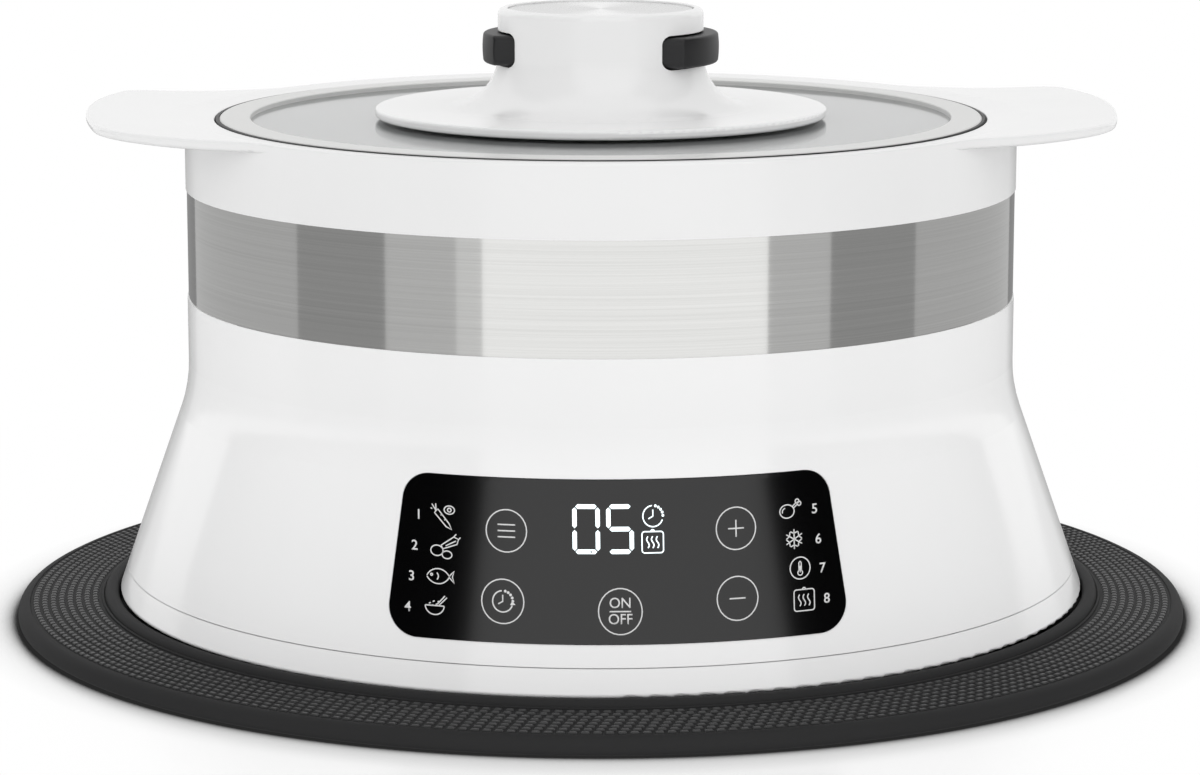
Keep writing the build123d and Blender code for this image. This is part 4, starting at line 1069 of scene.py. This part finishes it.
FLOOR_RADIUS = 12
FLOOR_DROP = 0.2 * MM
FLOOR_PAINT = 0.92
FLOOR_GLOSS = 0.22         # roughness
SHADE_REACH = 0.02         # how far the contact shadow spreads
SHADE_COVER = (0.70, 0.97)  # openness at which it is darkest, and gone
SHADE_DARK = 0.03
GLOSS_FADE = (0.24, 0.5)   # the floor's reflection fades out between these distances


class STEAMER_OT_studio(bpy.types.Operator):
    """Set the floor, the even light, the reflected cards and the camera"""

    bl_idname = "steamer.studio"
    bl_label = "Studio"

    def execute(self, context):
        scene = context.scene
        studio = scene.steamer_studio
        scene.view_settings.view_transform = "Standard"
        world = bpy.data.worlds.new("studio")
        scene.world = world
        world.use_nodes = True
        tree = world.node_tree
        path = node(tree, "ShaderNodeLightPath").outputs
        seen = maths(tree, "MAXIMUM", path["Is Camera Ray"], path["Is Glossy Ray"])
        seen = maths(tree, "MAXIMUM", seen, path["Is Transmission Ray"])
        background = tree.nodes["Background"]
        background.inputs["Color"].default_value = (1, 1, 1, 1)
        aim = node(tree, "ShaderNodeTexCoord").outputs["Generated"]
        rise = node(tree, "ShaderNodeSeparateXYZ", {0: aim}).outputs["Z"]
        level = ramp(tree, rise, 0.0, 1.0, studio.side, studio.top)
        tree.links.new(ramp(tree, seen, 0.0, 1.0, level, 1.0), background.inputs["Strength"])
        self.lay_floor()
        left, right = SOFTBOX_TURNS
        self.card("softbox", SOFTBOX_TURNS, SOFTBOX_RISES, [(0, studio.softbox)])
        self.card("flag_left", (-FLAG_END, left), FLAG_RISES, [(0, 0.0)])
        self.card("flag_right", (right, FLAG_END), FLAG_RISES, [(0, 0.0)])
        self.card("screen_left", (-180, left), SCREEN_RISES, SCREEN_STRIPS)
        self.card("screen_right", (right, 180), SCREEN_RISES, SCREEN_STRIPS)
        self.place_camera(scene, studio)
        return {"FINISHED"}

    def lay_floor(self):
        """Pale satin floor, white away from the object, that keeps its shadow and its reflection."""
        clear_selection()
        bpy.ops.mesh.primitive_circle_add(vertices=64, radius=FLOOR_RADIUS, fill_type="NGON")
        floor = bpy.context.object
        floor.name = "floor"
        floor.location.z = -FLOOR_DROP
        bpy.ops.object.transform_apply(location=True, rotation=True, scale=True)
        material = bpy.data.materials.new("floor")
        material.use_nodes = True
        tree = material.node_tree
        tree.nodes.clear()
        camera = node(tree, "ShaderNodeLightPath").outputs["Is Camera Ray"]
        cover = node(tree, "ShaderNodeAmbientOcclusion", {"Distance": SHADE_REACH}, samples=16)
        shade = ramp(tree, cover.outputs["AO"], *SHADE_COVER, SHADE_DARK, 1.0)
        inputs = {"Color": (1, 1, 1, 1), "Strength": shade}
        glow = node(tree, "ShaderNodeEmission", inputs).outputs[0]
        inputs = {"Color": shade, "Roughness": FLOOR_GLOSS}
        gloss = node(tree, "ShaderNodeBsdfGlossy", inputs).outputs[0]
        facing = node(tree, "ShaderNodeFresnel", {"IOR": 1.5}).outputs[0]
        away = vector_length(tree, node(tree, "ShaderNodeTexCoord").outputs["Object"])
        facing = maths(tree, "MULTIPLY", facing, ramp(tree, away, *GLOSS_FADE, 1.0, 0.0))
        seen = node(tree, "ShaderNodeMixShader", {0: facing, 1: glow, 2: gloss}).outputs[0]
        paint = (*grey(FLOOR_PAINT), 1)
        plain = node(tree, "ShaderNodeBsdfDiffuse", {"Color": paint}).outputs[0]
        mix = node(tree, "ShaderNodeMixShader", {0: camera, 1: plain, 2: seen})
        out = node(tree, "ShaderNodeOutputMaterial")
        tree.links.new(mix.outputs[0], out.inputs["Surface"])
        floor.data.materials.append(material)
        floor.visible_glossy = False

    def card(self, name, turns, rises, strip_levels):
        """Curved card of upright strips, seen only in reflections; angles are in degrees."""
        clear_selection()
        bpy.ops.mesh.primitive_plane_add(size=MM)
        piece = bpy.context.object
        piece.name = name
        bpy.ops.object.mode_set(mode="EDIT")
        bpy.ops.mesh.merge(type="CENTER")
        start = radians(turns[0] - 90)
        low, high = (CARD_MIDDLE + CARD_RADIUS * tan(radians(rise)) for rise in rises)
        bpy.ops.transform.translate(value=(CARD_RADIUS * cos(start), CARD_RADIUS * sin(start), low))
        bpy.ops.mesh.extrude_region_move(TRANSFORM_OT_translate={"value": (0, 0, high - low)})
        bpy.ops.mesh.select_all(action="SELECT")
        bpy.ops.mesh.spin(
            steps=CARD_FACETS,
            angle=radians(turns[0] - turns[1]),
            center=(0, 0, 0),
            axis=(0, 0, 1),
        )
        bpy.ops.object.mode_set(mode="OBJECT")
        material = bpy.data.materials.new(name)
        material.use_nodes = True
        tree = material.node_tree
        tree.nodes.clear()
        place = node(tree, "ShaderNodeTexCoord").outputs["Object"]
        split = node(tree, "ShaderNodeSeparateXYZ", {0: place}).outputs
        sideways = maths(tree, "ABSOLUTE", split["X"])
        turn = maths(tree, "ARCTAN2", sideways, maths(tree, "MULTIPLY", split["Y"], -1.0))
        strips = node(tree, "ShaderNodeValToRGB", {"Fac": maths(tree, "DIVIDE", turn, pi)})
        stops = strips.color_ramp.elements
        stops.remove(stops[1])
        for number, (start, level) in enumerate(strip_levels):
            stop = stops.new(start / 180) if number else stops[0]
            stop.color = (*grey(level / LEVEL_RANGE), 1)
        strips.color_ramp.interpolation = "CONSTANT"
        strength = maths(tree, "MULTIPLY", strips.outputs["Color"], LEVEL_RANGE)
        glow = node(tree, "ShaderNodeEmission", {"Color": (1, 1, 1, 1), "Strength": strength})
        out = node(tree, "ShaderNodeOutputMaterial")
        tree.links.new(glow.outputs[0], out.inputs["Surface"])
        piece.data.materials.append(material)
        piece.visible_camera = False
        piece.visible_diffuse = False
        piece.visible_shadow = False
        piece.visible_transmission = False

    def place_camera(self, scene, studio):
        """Camera at the viewing angle of a person standing at the worktop."""
        camera = bpy.data.objects.new("camera", bpy.data.cameras.new("camera"))
        scene.collection.objects.link(camera)
        turn = studio.camera_turn
        camera.location = (
            studio.camera_distance * sin(turn),
            -studio.camera_distance * cos(turn),
            studio.camera_height,
        )
        camera.rotation_euler = (pi / 2 - studio.camera_tilt, 0, turn)
        camera.data.lens = studio.lens
        camera.data.sensor_width = 36.0
        camera.data.sensor_fit = "HORIZONTAL"
        camera.data.shift_x = studio.shift
        scene.camera = camera


class STEAMER_PT_panel(bpy.types.Panel):
    """Steps that build the steamer, in order"""

    bl_idname = "STEAMER_PT_panel"
    bl_label = "Steamer"
    bl_space_type = "VIEW_3D"
    bl_region_type = "UI"
    bl_category = "Steamer"

    def draw(self, context):
        for step in STEPS:
            self.layout.operator(step.bl_idname)
        for name in GROUPS:
            group = getattr(context.scene, name)
            box = self.layout.box()
            for setting in group.__annotations__:
                box.prop(group, setting)


GROUPS = {
    "steamer_mat": SteamerMat,
    "steamer_print": SteamerPrint,
    "steamer_colours": SteamerColours,
    "steamer_studio": SteamerStudio,
}
STEPS = (
    STEAMER_OT_studio,
    STEAMER_OT_finishes,
    STEAMER_OT_mat,
    STEAMER_OT_keys,
    STEAMER_OT_programmes,
    STEAMER_OT_display,
    STEAMER_OT_springs,
)


def register():
    for group in GROUPS.values():
        bpy.utils.register_class(group)
    for name, group in GROUPS.items():
        setattr(bpy.types.Scene, name, PointerProperty(type=group))
    for step in STEPS:
        bpy.utils.register_class(step)
    bpy.utils.register_class(STEAMER_PT_panel)


def unregister():
    bpy.utils.unregister_class(STEAMER_PT_panel)
    for step in reversed(STEPS):
        bpy.utils.unregister_class(step)
    for name, group in GROUPS.items():
        delattr(bpy.types.Scene, name)
        bpy.utils.unregister_class(group)


def main():
    register()
    for step in STEPS:
        group, name = step.bl_idname.split(".")
        getattr(getattr(bpy.ops, group), name)()
    clear_selection()


if __name__ == "__main__":
    main()
